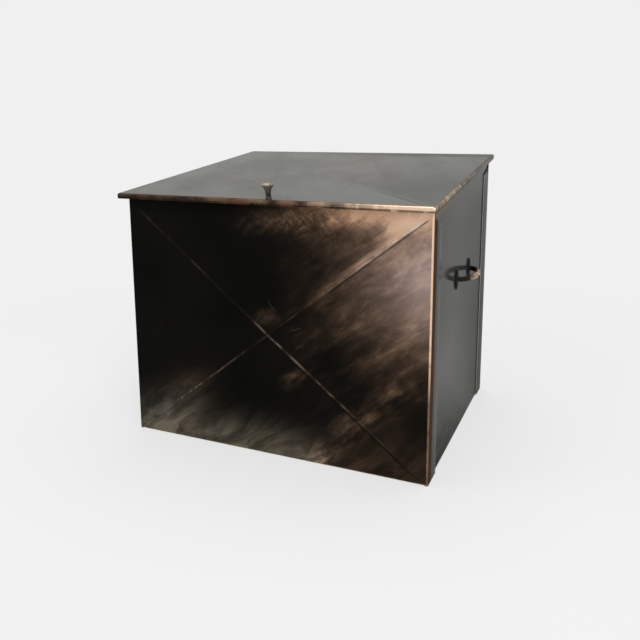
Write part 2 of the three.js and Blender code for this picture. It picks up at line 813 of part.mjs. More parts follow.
box.add(
  lid,
  piece('front_panel', frontPanel(), patina),
  piece('back_panel', backPanel(), dark),
  piece('left_side_panel', sidePanel(-1), dark),
  piece('right_side_panel', sidePanel(1), dark),
  piece('bottom_panel', bottomPanel(), dark),
);

// Handles with their washers and nuts inside the side walls
['left', 'right'].forEach((name, index) => {
  const side = index === 0 ? -1 : 1;
  const turn = side > 0 ? 0 : Math.PI;
  const outside = side * (sideOuter + seatGap);
  box.add(placed(piece(`${name}_handle`, handle(), copper), [outside, 0, handleHeight], [0, 0, turn]));
  ['front', 'back'].forEach((end, endIndex) => {
    const y = ((endIndex === 0 ? -1 : 1) * handleCentres) / 2;
    const inward = [0, (-side * Math.PI) / 2, 0];
    const washerFace = side * (sideInner - seatGap);
    const nutFace = washerFace - side * (washerSheet + seatGap);
    const ring = washer(studRadius + seatGap, washerRadius, washerSheet);
    const washerPiece = piece(`${name}_handle_washer_${end}`, ring, zinc);
    const nutPiece = piece(`${name}_handle_nut_${end}`, handleNut(), zinc);
    box.add(
      placed(washerPiece, [washerFace, y, handleHeight], inward),
      placed(nutPiece, [nutFace, y, handleHeight], inward),
    );
  });
});

// Hinges: body leaf, pin and its rivets on the box, lid leaf and its rivets on the lid
['left', 'right'].forEach((name, index) => {
  const x = hingePlaces[index];
  const headOut = index === 0 ? Math.PI / 2 : -Math.PI / 2;
  const headFace = halfDepth + leafSheet + 2 * seatGap;
  const rivetHeight = pinHeight - leafRivetSetback;
  const pinPlace = [x, pinBack, pinHeight];
  box.add(
    placed(piece(`${name}_hinge_body_leaf`, hingeLeaf(0), dark), pinPlace, [Math.PI / 2, 0, 0]),
    placed(piece(`${name}_hinge_pin`, hingePin(), zinc), pinPlace, [0, headOut, 0]),
  );
  lid.add(placed(piece(`${name}_hinge_lid_leaf`, hingeLeaf(1), dark), [x, 0, 0]));
  rivetPlaces().forEach((place, number) => {
    const bodyRivet = piece(`${name}_hinge_body_rivet_${number + 1}`, domeRivet(), zinc);
    const lidRivet = piece(`${name}_hinge_lid_rivet_${number + 1}`, flushRivet(), dark);
    box.add(placed(bodyRivet, [x + place, headFace, rivetHeight], [-Math.PI / 2, 0, 0]));
    lid.add(placed(lidRivet, [x + place, -leafRivetSetback, lidTop]));
  });
});

// Lid, knob, and the screw and washer that hold the knob from below
const knobWasherTop = lidUnder - seatGap;
const screwFace = knobWasherTop - screwWasherSheet - seatGap;
const screwWasher = washer(knobScrewRadius + seatGap, screwWasherRadius, screwWasherSheet);
lid.add(
  piece('lid_panel', lidPanel(), patina),
  placed(piece('lid_knob', lidKnob(), copper), [...knobPlace, lidTop + seatGap]),
  placed(piece('knob_washer', screwWasher, zinc), [...knobPlace, knobWasherTop - screwWasherSheet]),
  placed(piece('knob_screw', knobScrew(), zinc), [...knobPlace, screwFace]),
);

const logStorageBox = new THREE.Group();
logStorageBox.add(box);

export default logStorageBox;
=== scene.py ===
"""Log storage box of folded sheet steel, in metres, +Z up, with its front towards -Y."""

import functools
import math

import bmesh
import bpy
from bpy.props import FloatProperty, FloatVectorProperty, PointerProperty
from mathutils import Matrix, Vector, noise


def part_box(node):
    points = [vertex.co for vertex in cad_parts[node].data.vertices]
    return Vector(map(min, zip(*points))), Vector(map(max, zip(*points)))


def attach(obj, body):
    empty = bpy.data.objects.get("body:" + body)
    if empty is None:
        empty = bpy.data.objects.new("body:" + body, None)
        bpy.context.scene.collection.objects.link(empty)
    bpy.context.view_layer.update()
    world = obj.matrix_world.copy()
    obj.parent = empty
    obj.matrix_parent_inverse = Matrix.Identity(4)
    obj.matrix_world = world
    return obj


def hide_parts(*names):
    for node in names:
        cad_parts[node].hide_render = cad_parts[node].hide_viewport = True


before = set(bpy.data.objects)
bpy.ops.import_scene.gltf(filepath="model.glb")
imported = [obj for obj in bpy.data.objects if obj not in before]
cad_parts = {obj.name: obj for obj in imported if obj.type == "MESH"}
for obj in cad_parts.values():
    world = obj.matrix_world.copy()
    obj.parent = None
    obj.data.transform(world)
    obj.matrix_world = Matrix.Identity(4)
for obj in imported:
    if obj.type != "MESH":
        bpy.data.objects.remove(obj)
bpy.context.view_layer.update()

bl_info = {
    "name": "Log storage box",
    "version": (1, 0, 0),
    "blender": (4, 5, 0),
    "location": "3D View > Sidebar > Log box",
    "description": "Builds the panels, hinges, handles, knob and studio of a sheet steel log box",
    "category": "Object",
}

# Shapes are worked out in millimetres and brought to metres when a piece is made
MM = 0.001

# Body: outer width, depth, and the heights of the front and back walls
BODY_WIDTH = 500
BODY_DEPTH = 400
FRONT_HEIGHT = 400
BACK_HEIGHT = 450
HALF_WIDTH = BODY_WIDTH / 2
HALF_DEPTH = BODY_DEPTH / 2
SLOPE = (BACK_HEIGHT - FRONT_HEIGHT) / BODY_DEPTH
TILT = math.atan(SLOPE)

# Folded walls: sheet, outer radius of a fold, and the laps and flanges at their edges
SHEET = 1.5
FOLD = 3
GAP = 0.3
LAP = 42
LAP_CUT = (18, 30)
MOUTH_FLANGE = 10
FOOT_FLANGE = 15
FLANGE_END = 5.1
SIDE_FACE = HALF_WIDTH - SHEET - GAP
SIDE_END = HALF_DEPTH - FOLD
BACK_DROP = 1.8

# Crossed creases of the front panel: borders of their field, its half sizes and its middle height
CREASE_SIDE = 9
CREASE_HEAD = 18
CREASE_FOOT = 6
FRONT_FIELD = (
    HALF_WIDTH - CREASE_SIDE,
    (FRONT_HEIGHT - CREASE_HEAD - CREASE_FOOT) / 2,
    (FRONT_HEIGHT - CREASE_HEAD + CREASE_FOOT) / 2,
)

# Beads: where they fade out near the corners, as a share of a half diagonal, and over how much
BEAD_END = 0.92
BEAD_FADE = 0.1

# Mesh lines of a creased field: across half a bead, out to the plain field, and over the field
BEAD_LINES = (0, 0.2, 0.4, 0.6, 0.8, 1, 1.4, 2)
FIELD_START = 1.6
FIELD_STEPS = 44

# Mesh lines of the front above its creased field
HEAD_LINES = [387, 392]

# Steps of the mesh round a fold, along a lap, and across and up the plain faces
FOLD_STEPS = 6
LAP_STEPS = 4
BACK_STEPS = (60, 52)
SIDE_STEPS = (48, 52)
TRAY_STEPS = (30, 24)

# Ripple of a large face: lengths of its waves, border where it dies out, and a seed for each sheet
RIPPLE_LENGTHS = (130, 110)
RIPPLE_BORDER = 40
RIPPLE_SEEDS = {"front": 3.1, "back": 7.7, "side": 11.3, "tray": 19.9, "lid": 5.4}

# Floor tray
TRAY_LOW = 1.8
TRAY_LIP = 12
TRAY_CORNER = 4

# Lid, in its own frame on the hinge pins: Y runs up the slope and Z stands square to the sheet
LID_TOP = 5.3
LID_SHEET = 1.42
LID_HALF_WIDTH = 256.5
LID_FRONT = -426.81
LID_NOSE = 8.235
LID_HEM = 1.5
LID_HEM_START = 3.8
LID_RIM = 8
LID_CORNER = 4
LID_CLIP = 4
LID_CREASE_SIDE = 13
LID_CREASE_BACK = -22.2
LID_FIELD = (
    LID_HALF_WIDTH - LID_CREASE_SIDE,
    (LID_CREASE_BACK - LID_FRONT - LID_CORNER) / 2,
    (LID_CREASE_BACK + LID_FRONT + LID_CORNER) / 2,
)

# Rivets: row along a hinge, shank, and radius and height of a dome
RIVET_PITCH = 20
RIVET_SETBACK = 18.0
RIVET_SHANK = 1.6
DOME = (3, 1.4)

# Hinges: leaves, the knuckles rolled on them, and pins
HINGE_PLACES = (-150, 150)
HINGE_LENGTH = 60
KNUCKLE = 3.5
KNUCKLE_COUNT = 5
LEAF_SHEET = 1.5
LEAF_WIDTH = 27.0
LEAF_CORNER = 4
ROLL_STEPS = 34
ROLL_OVERLAP = 0.2
PIN_RADIUS = 1.7
PIN_BORE = 2.0
PIN_Y = 203.8
PIN_HEIGHT = 446.948

# Knob and its washer
KNOB_PLACE = (8, -414.81)
KNOB_SIDES = 72
KNOB_WASHER = 1

# Handles: bow, half sizes and profile of a foot, stud, and the cells that run them together
HANDLE_HEIGHT = 269
HANDLE_CENTRES = 94
BOW_START = 0.5
BOW_REACH = 22.5
BOW_STEPS = 64
BOW_SIDES = 28
FOOT_SIZE = (7.4, 17.8)
FOOT_THICK = 3
FOOT_SIDES = 64
FOOT_PROFILE = (
    (0, 1), (0.25, 1), (0.5, 0.97), (0.72, 0.9), (0.88, 0.78), (0.97, 0.66), (1, 0.5),
)
STUD_RADIUS = 2.75
STUD_ENDS = (-9.2, 0.6)
STUD_SIDES = 24
FORGE_CELL = 0.7
HANDLE_WASHER = 1.2
NUT_FLATS = 10
NUT_HEIGHT = 4.5

# Sides of round pieces
WASHER_SIDES = 48
SCREW_SIDES = 40
RIVET_SIDES = 32

# Radii of the holes for rivets, handle studs and the knob's screw, and how far a drill reaches
RIVET_HOLE = 1.9
STUD_HOLE = 3.1
SCREW_HOLE = 2.3
HOLE_SIDES = 28
DRILL_REACH = 4
LEAF_DRILL = 6

# Bevels along cut edges, turn in degrees that keeps a leaf's edges sharp, and slack between places
WALL_BEVEL = 0.22
TRAY_BEVEL = 0.2
LEAF_BEVEL = 0.18
LEAF_SHARP = 25
SLACK = 1e-6

# Camera: place, turns in degrees, and shift of the picture
CAMERA_PLACE = (0.4613, -1.0445, 0.4957)
CAMERA_TURNS = (80.06, 0, 22.6)
CAMERA_SHIFT = (-0.0239, -0.1138)

# Floor, and the soft lamps: place, what each faces, its size and its power
FLOOR_REACH = 40000
FLOOR_DROP = 0.5
LAMPS = {
    "key": ((1.5, -1.9, 1.9), (0, 0, 0.25), (1.4, 1.2), 34),
    "fill": ((-2.0, -1.2, 1.4), (0, 0, 0.25), (1.6, 1.4), 14),
    "top": ((0.1, 0.3, 2.4), (0, 0, 0.3), (1.8, 1.4), 22),
}

# Frames that the pieces are drawn in, and the body's front and back faces in metres
side_low, side_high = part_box("left_side_panel")
BODY_MIDDLE = (side_low[1] + side_high[1]) / 2
IN_METRES = Matrix.Diagonal((MM, MM, MM, 1))
IN_BODY = Matrix.Translation((0, BODY_MIDDLE, 0)) @ IN_METRES
IN_LID = IN_BODY @ Matrix.Translation((0, PIN_Y, PIN_HEIGHT)) @ Matrix.Rotation(TILT, 4, "X")
FRONT_FACE = BODY_MIDDLE - HALF_DEPTH * MM
BACK_FACE = BODY_MIDDLE + HALF_DEPTH * MM


# Lengths and colours that a user may change
length = functools.partial(FloatProperty, min=0, unit="LENGTH")
tone = functools.partial(FloatVectorProperty, size=3, min=0, max=1, subtype="COLOR")


class BoxSheetSizes(bpy.types.PropertyGroup):
    """Sizes of the pressed and folded sheet"""

    front_rise: length(
        name="Front crease rise", default=0.004, max=0.02,
        description="How far the middle of the front stands proud of its borders",
    )
    front_bead: length(
        name="Front bead height", default=0.0009, max=0.004,
        description="Height of the beads along the creases of the front",
    )
    lid_rise: length(
        name="Lid crease rise", default=0.002, max=0.01,
        description="How far the middle of the lid stands proud of its borders",
    )
    lid_bead: length(
        name="Lid bead height", default=0.00005, max=0.004,
        description="Height of the beads along the creases of the lid",
    )
    bead_width: length(
        name="Bead width", default=0.0036, min=0.001, max=0.02,
        description="Width of a bead at its foot",
    )
    ripple: length(
        name="Sheet ripple", default=0.00022, max=0.002,
        description="Slow waviness of the large faces",
    )


class BoxFinishes(bpy.types.PropertyGroup):
    """Colours of the paint and of the metal rubbed over it"""

    paint: tone(
        name="Black paint", default=(0.0017, 0.0019, 0.0014),
        description="Colour of the baked black paint",
    )
    lid_paint: tone(
        name="Lid paint", default=(0.050, 0.050, 0.040),
        description="Colour of the paint on the lid, where it has greyed",
    )
    wall_paint: tone(
        name="Wall paint", default=(0.036, 0.037, 0.033),
        description="Colour of the paint on the sides and the back",
    )
    copper: tone(
        name="Copper", default=(0.62, 0.36, 0.22),
        description="Colour of the copper brushed over the paint",
    )
    rose: tone(
        name="Pale copper", default=(0.62, 0.47, 0.43),
        description="Colour of the paler, pinker strokes",
    )
    tan: tone(
        name="Tan", default=(0.56, 0.48, 0.36),
        description="Colour of the thin film brushed along the foot of the front",
    )
    pale: tone(
        name="Bared metal", default=(0.68, 0.59, 0.49),
        description="Colour of the beads where they are rubbed bare",
    )
    gold: tone(
        name="Rubbed edge", default=(0.84, 0.59, 0.41),
        description="Colour of edges that are rubbed bright",
    )
    bronze: tone(
        name="Bronze", default=(0.40, 0.26, 0.14),
        description="Colour of the darker, browner strokes",
    )
    zinc: tone(
        name="Zinc", default=(0.56, 0.57, 0.57),
        description="Colour of the plated fasteners",
    )


class BoxStudio(bpy.types.PropertyGroup):
    """Camera, lamps and backdrop"""

    backdrop: tone(
        name="Backdrop", default=(0.871, 0.871, 0.871),
        description="Colour of the floor and of the room behind it",
    )
    room_light: FloatProperty(
        name="Room light", default=0.55, min=0, max=4,
        description="Strength of the even light from all round",
    )
    focal_length: FloatProperty(
        name="Focal length", default=37.25, min=10, max=200,
        description="Focal length of the lens in millimetres",
    )


# Panels drawn as patches of points

def eased(share):
    """Share kept from 0 to 1, with a soft start and end."""
    share = min(1, max(0, share))
    return share * share * (3 - 2 * share)


def between(first, last, count):
    """Evenly spaced values from first to last, both included."""
    return [first + (last - first) * step / count for step in range(count + 1)]


def turns(count):
    """Angles of as many places once round."""
    return between(0, 2 * math.pi, count)[:-1]


def section(*steps):
    """Places of a folded edge, as distance out from the web and drop behind it.

    A step is a run of one length, or a bend given as its outer radius and its turn.
    """
    out, drop, heading = 0.0, 0.0, 0.0
    places = [(out, drop)]
    for step in steps:
        if isinstance(step, tuple):
            radius, turn = step
            for angle in between(heading, heading + turn, FOLD_STEPS)[1:]:
                places.append((
                    out + radius * (math.sin(angle) - math.sin(heading)),
                    drop + radius * (math.cos(heading) - math.cos(angle)),
                ))
            heading += turn
        else:
            places.append((out + step * math.cos(heading), drop + step * math.sin(heading)))
        out, drop = places[-1]
    return places


class Drawing:
    """A mesh that is drawn face by face, in millimetres, with shared corners merged."""

    def __init__(self):
        self.mesh = bmesh.new()
        self.corners = {}

    def corner(self, place):
        key = tuple(round(value, 3) for value in place)
        if key not in self.corners:
            self.corners[key] = self.mesh.verts.new(place)
        return self.corners[key]

    def face(self, *places):
        corners = list(dict.fromkeys(self.corner(place) for place in places))
        if len(corners) > 2:
            self.mesh.faces.new(corners)

    def patch(self, place, across, along):
        for a, b in zip(across, across[1:]):
            for c, d in zip(along, along[1:]):
                self.face(place(a, c), place(b, c), place(b, d), place(a, d))

    def edge(self, place, folded, along):
        """Folded edge beside the web: place gives a point from its out, its drop and its run."""
        self.patch(lambda index, run: place(*folded[index], run), range(len(folded)), along)

    def ring(self, loops, closed=True):
        """Skin through loops of as many points each."""
        count = len(loops[0])
        for low, high in zip(loops, loops[1:]):
            for index in range(count if closed else count - 1):
                after = (index + 1) % count
                self.face(low[index], low[after], high[after], high[index])


def crossing_shares(half_x, half_y):
    """Shares of a half diagonal where the lines of a creased field lie, closer at the beads."""
    square = 2 * half_x * half_y / math.hypot(half_x, half_y)
    bead = scene_sizes().bead_width / MM / 2 / square
    near = [bead * share for share in BEAD_LINES]
    middle = between(near[-1] * FIELD_START, 1 - near[-1] * FIELD_START, FIELD_STEPS)
    return near + middle + [1 - share for share in reversed(near)]


def crossed_field(drawing, half_x, half_y, middle_y, height):
    """Field on lines parallel to its two diagonals, so that the creases run along them."""
    shares = crossing_shares(half_x, half_y)
    last = len(shares) - 1
    for side_s in (-1, 1):
        for side_t in (-1, 1):
            def place(i, j):
                s, t = side_s * shares[i], side_t * shares[j]
                x, y = half_x * (s + t), middle_y + half_y * (s - t)
                return (x, y, height(x, y))
            for i in range(last):
                for j in range(last - i):
                    far = [] if i + j + 1 == last else [place(i + 1, j + 1)]
                    drawing.face(place(i, j), place(i + 1, j), *far, place(i, j + 1))


def field_lines(half_x, half_y, middle, half):
    """Lines of the borders that meet the ends of the lines of a creased field."""
    return [middle + half * (2 * share - 1) for share in crossing_shares(half_x, half_y)]


def creased(half_x, half_y, middle_y, rise, bead):
    """Height of a cross-broken field over its borders, beads included."""
    length = math.hypot(half_x, half_y)
    half_bead = scene_sizes().bead_width / MM / 2

    def height(x, y):
        p, q = x / half_x, (y - middle_y) / half_y
        if max(abs(p), abs(q)) >= 1:
            return 0.0
        total = rise * (1 - max(abs(p), abs(q)))
        best = 0.0
        for share, off in (((p + q) / 2, (p - q) / 2), ((p - q) / 2, (p + q) / 2)):
            distance = abs(off) * 2 * half_x * half_y / length
            if distance < half_bead:
                fade = eased((BEAD_END - abs(share)) / BEAD_FADE)
                best = max(best, bead * fade * (1 + math.cos(math.pi * distance / half_bead)) / 2)
        return total + best
    return height


def rippled(low, high, seed):
    """Slow waves of a large face that die out towards its borders."""
    depth = scene_sizes().ripple / MM

    def wave(x, y):
        inset = min(x - low[0], high[0] - x, y - low[1], high[1] - y)
        place = Vector((x / RIPPLE_LENGTHS[0], y / RIPPLE_LENGTHS[1], seed))
        return depth * eased(inset / RIPPLE_BORDER) * noise.noise(place)
    return wave


def scene_sizes():
    """Sizes of the sheet as the scene holds them."""
    return bpy.context.scene.box_sheet_sizes


def placed(name, drawing, frame_matrix, open_sheet=False):
    """An object from a drawing, its faces turned outward, or those of an open sheet turned up."""
    mesh = drawing.mesh
    bmesh.ops.recalc_face_normals(mesh, faces=mesh.faces)
    if open_sheet and sum(face.normal.z * face.calc_area() for face in mesh.faces) < 0:
        bmesh.ops.reverse_faces(mesh, faces=mesh.faces)
    mesh.transform(frame_matrix)
    data = bpy.data.meshes.new(name)
    mesh.to_mesh(data)
    mesh.free()
    piece = bpy.data.objects.new(name, data)
    bpy.context.scene.collection.objects.link(piece)
    return piece


def fitted(piece, body, nodes, material):
    """Lets a piece ride on a body and stand for its CAD nodes, with one material."""
    piece.data.materials.clear()
    piece.data.materials.append(material)
    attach(piece, body)
    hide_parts(*nodes)


def finished(name, drawing, frame_matrix, body, nodes, material, bevel=0.0, thickness=0.0,
             smooth=35, cutters=()):
    """Turns a drawing into a piece that rides on a body and stands for CAD nodes."""
    piece = placed(name, drawing, frame_matrix, open_sheet=thickness > 0)
    if thickness:
        solid = piece.modifiers.new("Sheet", "SOLIDIFY")
        solid.thickness = thickness * MM
        solid.offset = -1
        solid.use_even_offset = True
        solid.use_quality_normals = True
    for cutter in cutters:
        hole = piece.modifiers.new("Hole", "BOOLEAN")
        hole.operation = "DIFFERENCE"
        hole.solver = "EXACT"
        hole.object = cutter
    if bevel:
        soft = piece.modifiers.new("Edges", "BEVEL")
        soft.width = bevel * MM
        soft.segments = 2
        soft.limit_method = "ANGLE"
        soft.angle_limit = math.radians(50)
        soft.miter_outer = "MITER_ARC"
    applied(piece)
    for cutter in cutters:
        bpy.data.objects.remove(cutter)
    shaded(piece, smooth)
    fitted(piece, body, nodes, material)


def applied(piece):
    """Makes a piece's modifiers part of its mesh."""
    bpy.context.view_layer.update()
    shape = piece.evaluated_get(bpy.context.evaluated_depsgraph_get())
    data = bpy.data.meshes.new_from_object(shape)
    old = piece.data
    piece.modifiers.clear()
    piece.data = data
    data.name = piece.name
    bpy.data.meshes.remove(old)


def shaded(piece, angle):
    """Smooth shading, with the edges that turn by more than an angle left sharp."""
    data = piece.data
    data.polygons.foreach_set("use_smooth", [True] * len(data.polygons))
    data.set_sharp_from_angle(angle=math.radians(angle))


def cutter(profile, frame_matrix):
    """A closed tool for holes, turned about Z."""
    return tool_piece(lathe(profile, HOLE_SIDES), frame_matrix)


def tool_piece(drawing, frame_matrix):
    """A drawing as a tool for a cut."""
    shape = placed("cut_tool", drawing, frame_matrix)
    shape.hide_render = True
    return shape


def drill(radius, low, high, frame_matrix):
    """A straight tool for a hole about Z."""
    return cutter([(0, low), (radius, low), (radius, high), (0, high)], frame_matrix)


def lathe(profile, sides):
    """Turned shape about Z: its profile of radii and heights ends on the axis or on itself."""
    drawing = Drawing()
    loops = []
    for radius, height in profile:
        loops.append([
            (radius * math.cos(angle), radius * math.sin(angle), height)
            for angle in turns(sides)
        ])
    drawing.ring(loops)
    return drawing


# Walls, floor and lid

def end_wall(top, top_turn, lines_x, lines_y, height, field=None):
    """Front or back wall with its laps and flanges, in the plane of its web."""
    drawing = Drawing()
    tangent = FOLD * math.tan(top_turn / 2)
    web_top = top - tangent
    edge = HALF_WIDTH - FOLD
    flange = HALF_WIDTH - FLANGE_END
    web_x = [-edge, -flange] + lines_x + [flange, edge]
    web_y = [FOLD] + lines_y + [web_top]

    def web(x, y):
        return (x, y, height(x, y))

    if field:
        half_x, half_y, middle_y = field
        inside_x = [x for x in web_x if abs(x) <= half_x + SLACK]
        left = [x for x in web_x if x <= -half_x + SLACK]
        right = [x for x in web_x if x >= half_x - SLACK]
        low = [y for y in web_y if y <= middle_y - half_y + SLACK]
        high = [y for y in web_y if y >= middle_y + half_y - SLACK]
        for border in (left, right):
            drawing.patch(web, border, web_y)
        for border in (low, high):
            drawing.patch(web, inside_x, border)
        crossed_field(drawing, half_x, half_y, middle_y, height)
    else:
        drawing.patch(web, web_x, web_y)

    spread = [x for x in web_x if abs(x) <= flange + SLACK]
    mouth = section((FOLD, top_turn), MOUTH_FLANGE - tangent)
    foot = section((FOLD, math.pi / 2), FOOT_FLANGE - FOLD)
    drawing.edge(lambda out, drop, x: (x, web_top + out, -drop), mouth, spread)
    drawing.edge(lambda out, drop, x: (x, FOLD - out, -drop), foot, spread)

    corner = section((FOLD, math.pi / 2))
    lap = section((FOLD, math.pi / 2), *[(LAP - FOLD) / LAP_STEPS] * LAP_STEPS)[len(corner) - 1:]
    grade = (LAP_CUT[1] - LAP_CUT[0]) / (LAP - FOLD)
    for side in (-1, 1):
        for ear in ([0, FOLD], [web_top, top]):
            drawing.patch(lambda x, y: (side * x, y, 0), [flange, edge], ear)
        rows = [0] + web_y + [top]
        drawing.edge(lambda out, drop, y: (side * (edge + out), y, -drop), corner, rows)
        cut = top - LAP_CUT[0]
        low_rows = [y for y in rows if y < cut - SLACK] + [cut]
        drawing.edge(
            lambda out, drop, y: (side * (edge + out), min(y, cut - grade * (drop - FOLD)), -drop),
            lap, low_rows,
        )
    return drawing


def facing_matrix(across, up, out, place):
    """Frame of a wall from the directions of its width, its height and its outer face."""
    turn = Matrix((across, up, out)).transposed().to_4x4()
    return IN_BODY @ Matrix.Translation(place) @ turn


class LOGBOX_OT_front_panel(bpy.types.Operator):
    """Cross-broken front panel with beads along its creases"""

    bl_idname = "logbox.front_panel"
    bl_label = "Front panel"

    def execute(self, context):
        sizes = context.scene.box_sheet_sizes
        half_x, half_y, middle = FRONT_FIELD
        border = half_x + 2.5
        pressed = creased(*FRONT_FIELD, sizes.front_rise / MM, sizes.front_bead / MM)
        wave = rippled((-half_x, middle - half_y), (half_x, middle + half_y), RIPPLE_SEEDS["front"])
        drawing = end_wall(
            FRONT_HEIGHT, math.pi / 2 - TILT,
            [-border] + field_lines(half_x, half_y, 0, half_x) + [border],
            field_lines(half_x, half_y, middle, half_y) + HEAD_LINES,
            lambda x, y: pressed(x, y) + wave(x, y), FRONT_FIELD,
        )
        place = facing_matrix((1, 0, 0), (0, 0, 1), (0, -1, 0), (0, -HALF_DEPTH, 0))
        finished("front_panel_sheet", drawing, place, "box", ["front_panel"],
                 front_patina(), bevel=WALL_BEVEL, thickness=SHEET)
        return {"FINISHED"}


class LOGBOX_OT_back_panel(bpy.types.Operator):
    """Plain back wall with the rows of rivet holes for the hinges"""

    bl_idname = "logbox.back_panel"
    bl_label = "Back panel"

    def execute(self, context):
        top = BACK_HEIGHT - BACK_DROP / math.cos(TILT)
        half = HALF_WIDTH - CREASE_SIDE
        wave = rippled((-half, 10), (half, top - 40), RIPPLE_SEEDS["back"])
        drawing = end_wall(
            top, math.pi / 2 + TILT,
            between(-half, half, BACK_STEPS[0]), between(6, top - 12, BACK_STEPS[1]),
            lambda x, y: wave(x, y) if abs(x) < half else 0,
        )
        place = facing_matrix((-1, 0, 0), (0, 0, 1), (0, 1, 0), (0, HALF_DEPTH, 0))
        height = PIN_HEIGHT - RIVET_SETBACK
        holes = [
            drill(RIVET_HOLE, -DRILL_REACH, DRILL_REACH, place @ Matrix.Translation((x, height, 0)))
            for x in rivet_places()
        ]
        finished("back_panel_sheet", drawing, place, "box", ["back_panel"],
                 wall_paint(), bevel=WALL_BEVEL, thickness=SHEET, cutters=holes)
        return {"FINISHED"}


class LOGBOX_OT_side_panels(bpy.types.Operator):
    """Side walls, whose upper edge follows the slope of the lid"""

    bl_idname = "logbox.side_panels"
    bl_label = "Side panels"

    def execute(self, context):
        for name, side in (("left", -1), ("right", 1)):
            drawing = Drawing()
            seed = RIPPLE_SEEDS["side"] + side
            wave = rippled((-SIDE_END, FOLD), (SIDE_END, FRONT_HEIGHT), seed)
            mouth_end = HALF_DEPTH - MOUTH_FLANGE - GAP
            foot_end = HALF_DEPTH - FOOT_FLANGE - GAP
            lines = between(-foot_end, foot_end, SIDE_STEPS[0])
            lines = [-SIDE_END, -mouth_end] + lines + [mouth_end, SIDE_END]

            def rim(y):
                return FRONT_HEIGHT + (side * y + HALF_DEPTH) * SLOPE - FOLD / math.cos(TILT)

            def web(y, share):
                z = FOLD + (rim(y) - FOLD) * share
                return (y, z, wave(y, min(z, FRONT_HEIGHT)))
            drawing.patch(web, lines, between(0, 1, SIDE_STEPS[1]))
            foot = section((FOLD, math.pi / 2), FOOT_FLANGE - FOLD)
            mouth = section((FOLD, math.pi / 2), MOUTH_FLANGE - FOLD)
            lean = -side * math.sin(TILT)

            def below(out, drop, y):
                return (y, FOLD - out, -drop)

            def above(out, drop, y):
                return (y + lean * out, rim(y) + math.cos(TILT) * out, -drop)
            short = [y for y in lines if abs(y) <= foot_end + SLACK]
            middling = [y for y in lines if abs(y) <= mouth_end + SLACK]
            drawing.edge(below, foot[:-1], lines)
            drawing.edge(below, foot[-2:], short)
            drawing.edge(above, mouth[:-1], lines)
            drawing.edge(above, mouth[-2:], middling)
            place = facing_matrix((0, side, 0), (0, 0, 1), (side, 0, 0), (side * SIDE_FACE, 0, 0))
            studs = [
                place @ Matrix.Translation((end * HANDLE_CENTRES / 2, HANDLE_HEIGHT, 0))
                for end in (-1, 1)
            ]
            holes = [drill(STUD_HOLE, -DRILL_REACH, DRILL_REACH, stud) for stud in studs]
            finished(f"{name}_side_sheet", drawing, place, "box", [f"{name}_side_panel"],
                     wall_paint(), bevel=WALL_BEVEL, thickness=SHEET, cutters=holes)
        return {"FINISHED"}


class LOGBOX_OT_bottom_panel(bpy.types.Operator):
    """Floor tray with its lip turned up all round"""

    bl_idname = "logbox.bottom_panel"
    bl_label = "Bottom panel"

    def execute(self, context):
        drawing = Drawing()
        half_x = SIDE_FACE - SHEET - GAP - TRAY_CORNER
        half_y = HALF_DEPTH - SHEET - GAP - TRAY_CORNER
        lip = section(TRAY_CORNER - FOLD, (FOLD, math.pi / 2), TRAY_LIP - FOLD)
        lines_x = between(-half_x, half_x, TRAY_STEPS[0])
        lines_y = between(-half_y, half_y, TRAY_STEPS[1])
        wave = rippled((-half_x, -half_y), (half_x, half_y), RIPPLE_SEEDS["tray"])
        drawing.patch(lambda x, y: (x, y, wave(x, y)), lines_x, lines_y)
        tray_edges(drawing, lip, half_x, (-half_y, half_y), lines_x, lines_y)
        place = facing_matrix((1, 0, 0), (0, -1, 0), (0, 0, -1), (0, 0, TRAY_LOW))
        finished("bottom_panel_sheet", drawing, place, "box", ["bottom_panel"],
                 wall_paint(), bevel=TRAY_BEVEL, thickness=SHEET)
        return {"FINISHED"}


def tray_edges(drawing, folded, half_x, reach_y, lines_x, lines_y, back=True, limit=None):
    """Folded edges round a rectangle, with round corners at the front and maybe at the back."""
    low, high = reach_y
    limit = limit or (lambda drop, y: drop)
    for side in (-1, 1):
        drawing.edge(
            lambda out, drop, y: (side * (half_x + out), y, -limit(drop, y)), folded, lines_y,
        )
    ends = [(-1, low)] + ([(1, high)] if back else [])
    for end, y in ends:
        drawing.edge(lambda out, drop, x: (x, y + end * out, -drop), folded, lines_x)
        for side in (-1, 1):
            def place(index, angle):
                out, drop = folded[index]
                across, ahead = out * math.cos(angle), out * math.sin(angle)
                return (side * (half_x + across), y + end * ahead, -drop)
            drawing.patch(place, range(len(folded)), between(0, math.pi / 2, FOLD_STEPS))


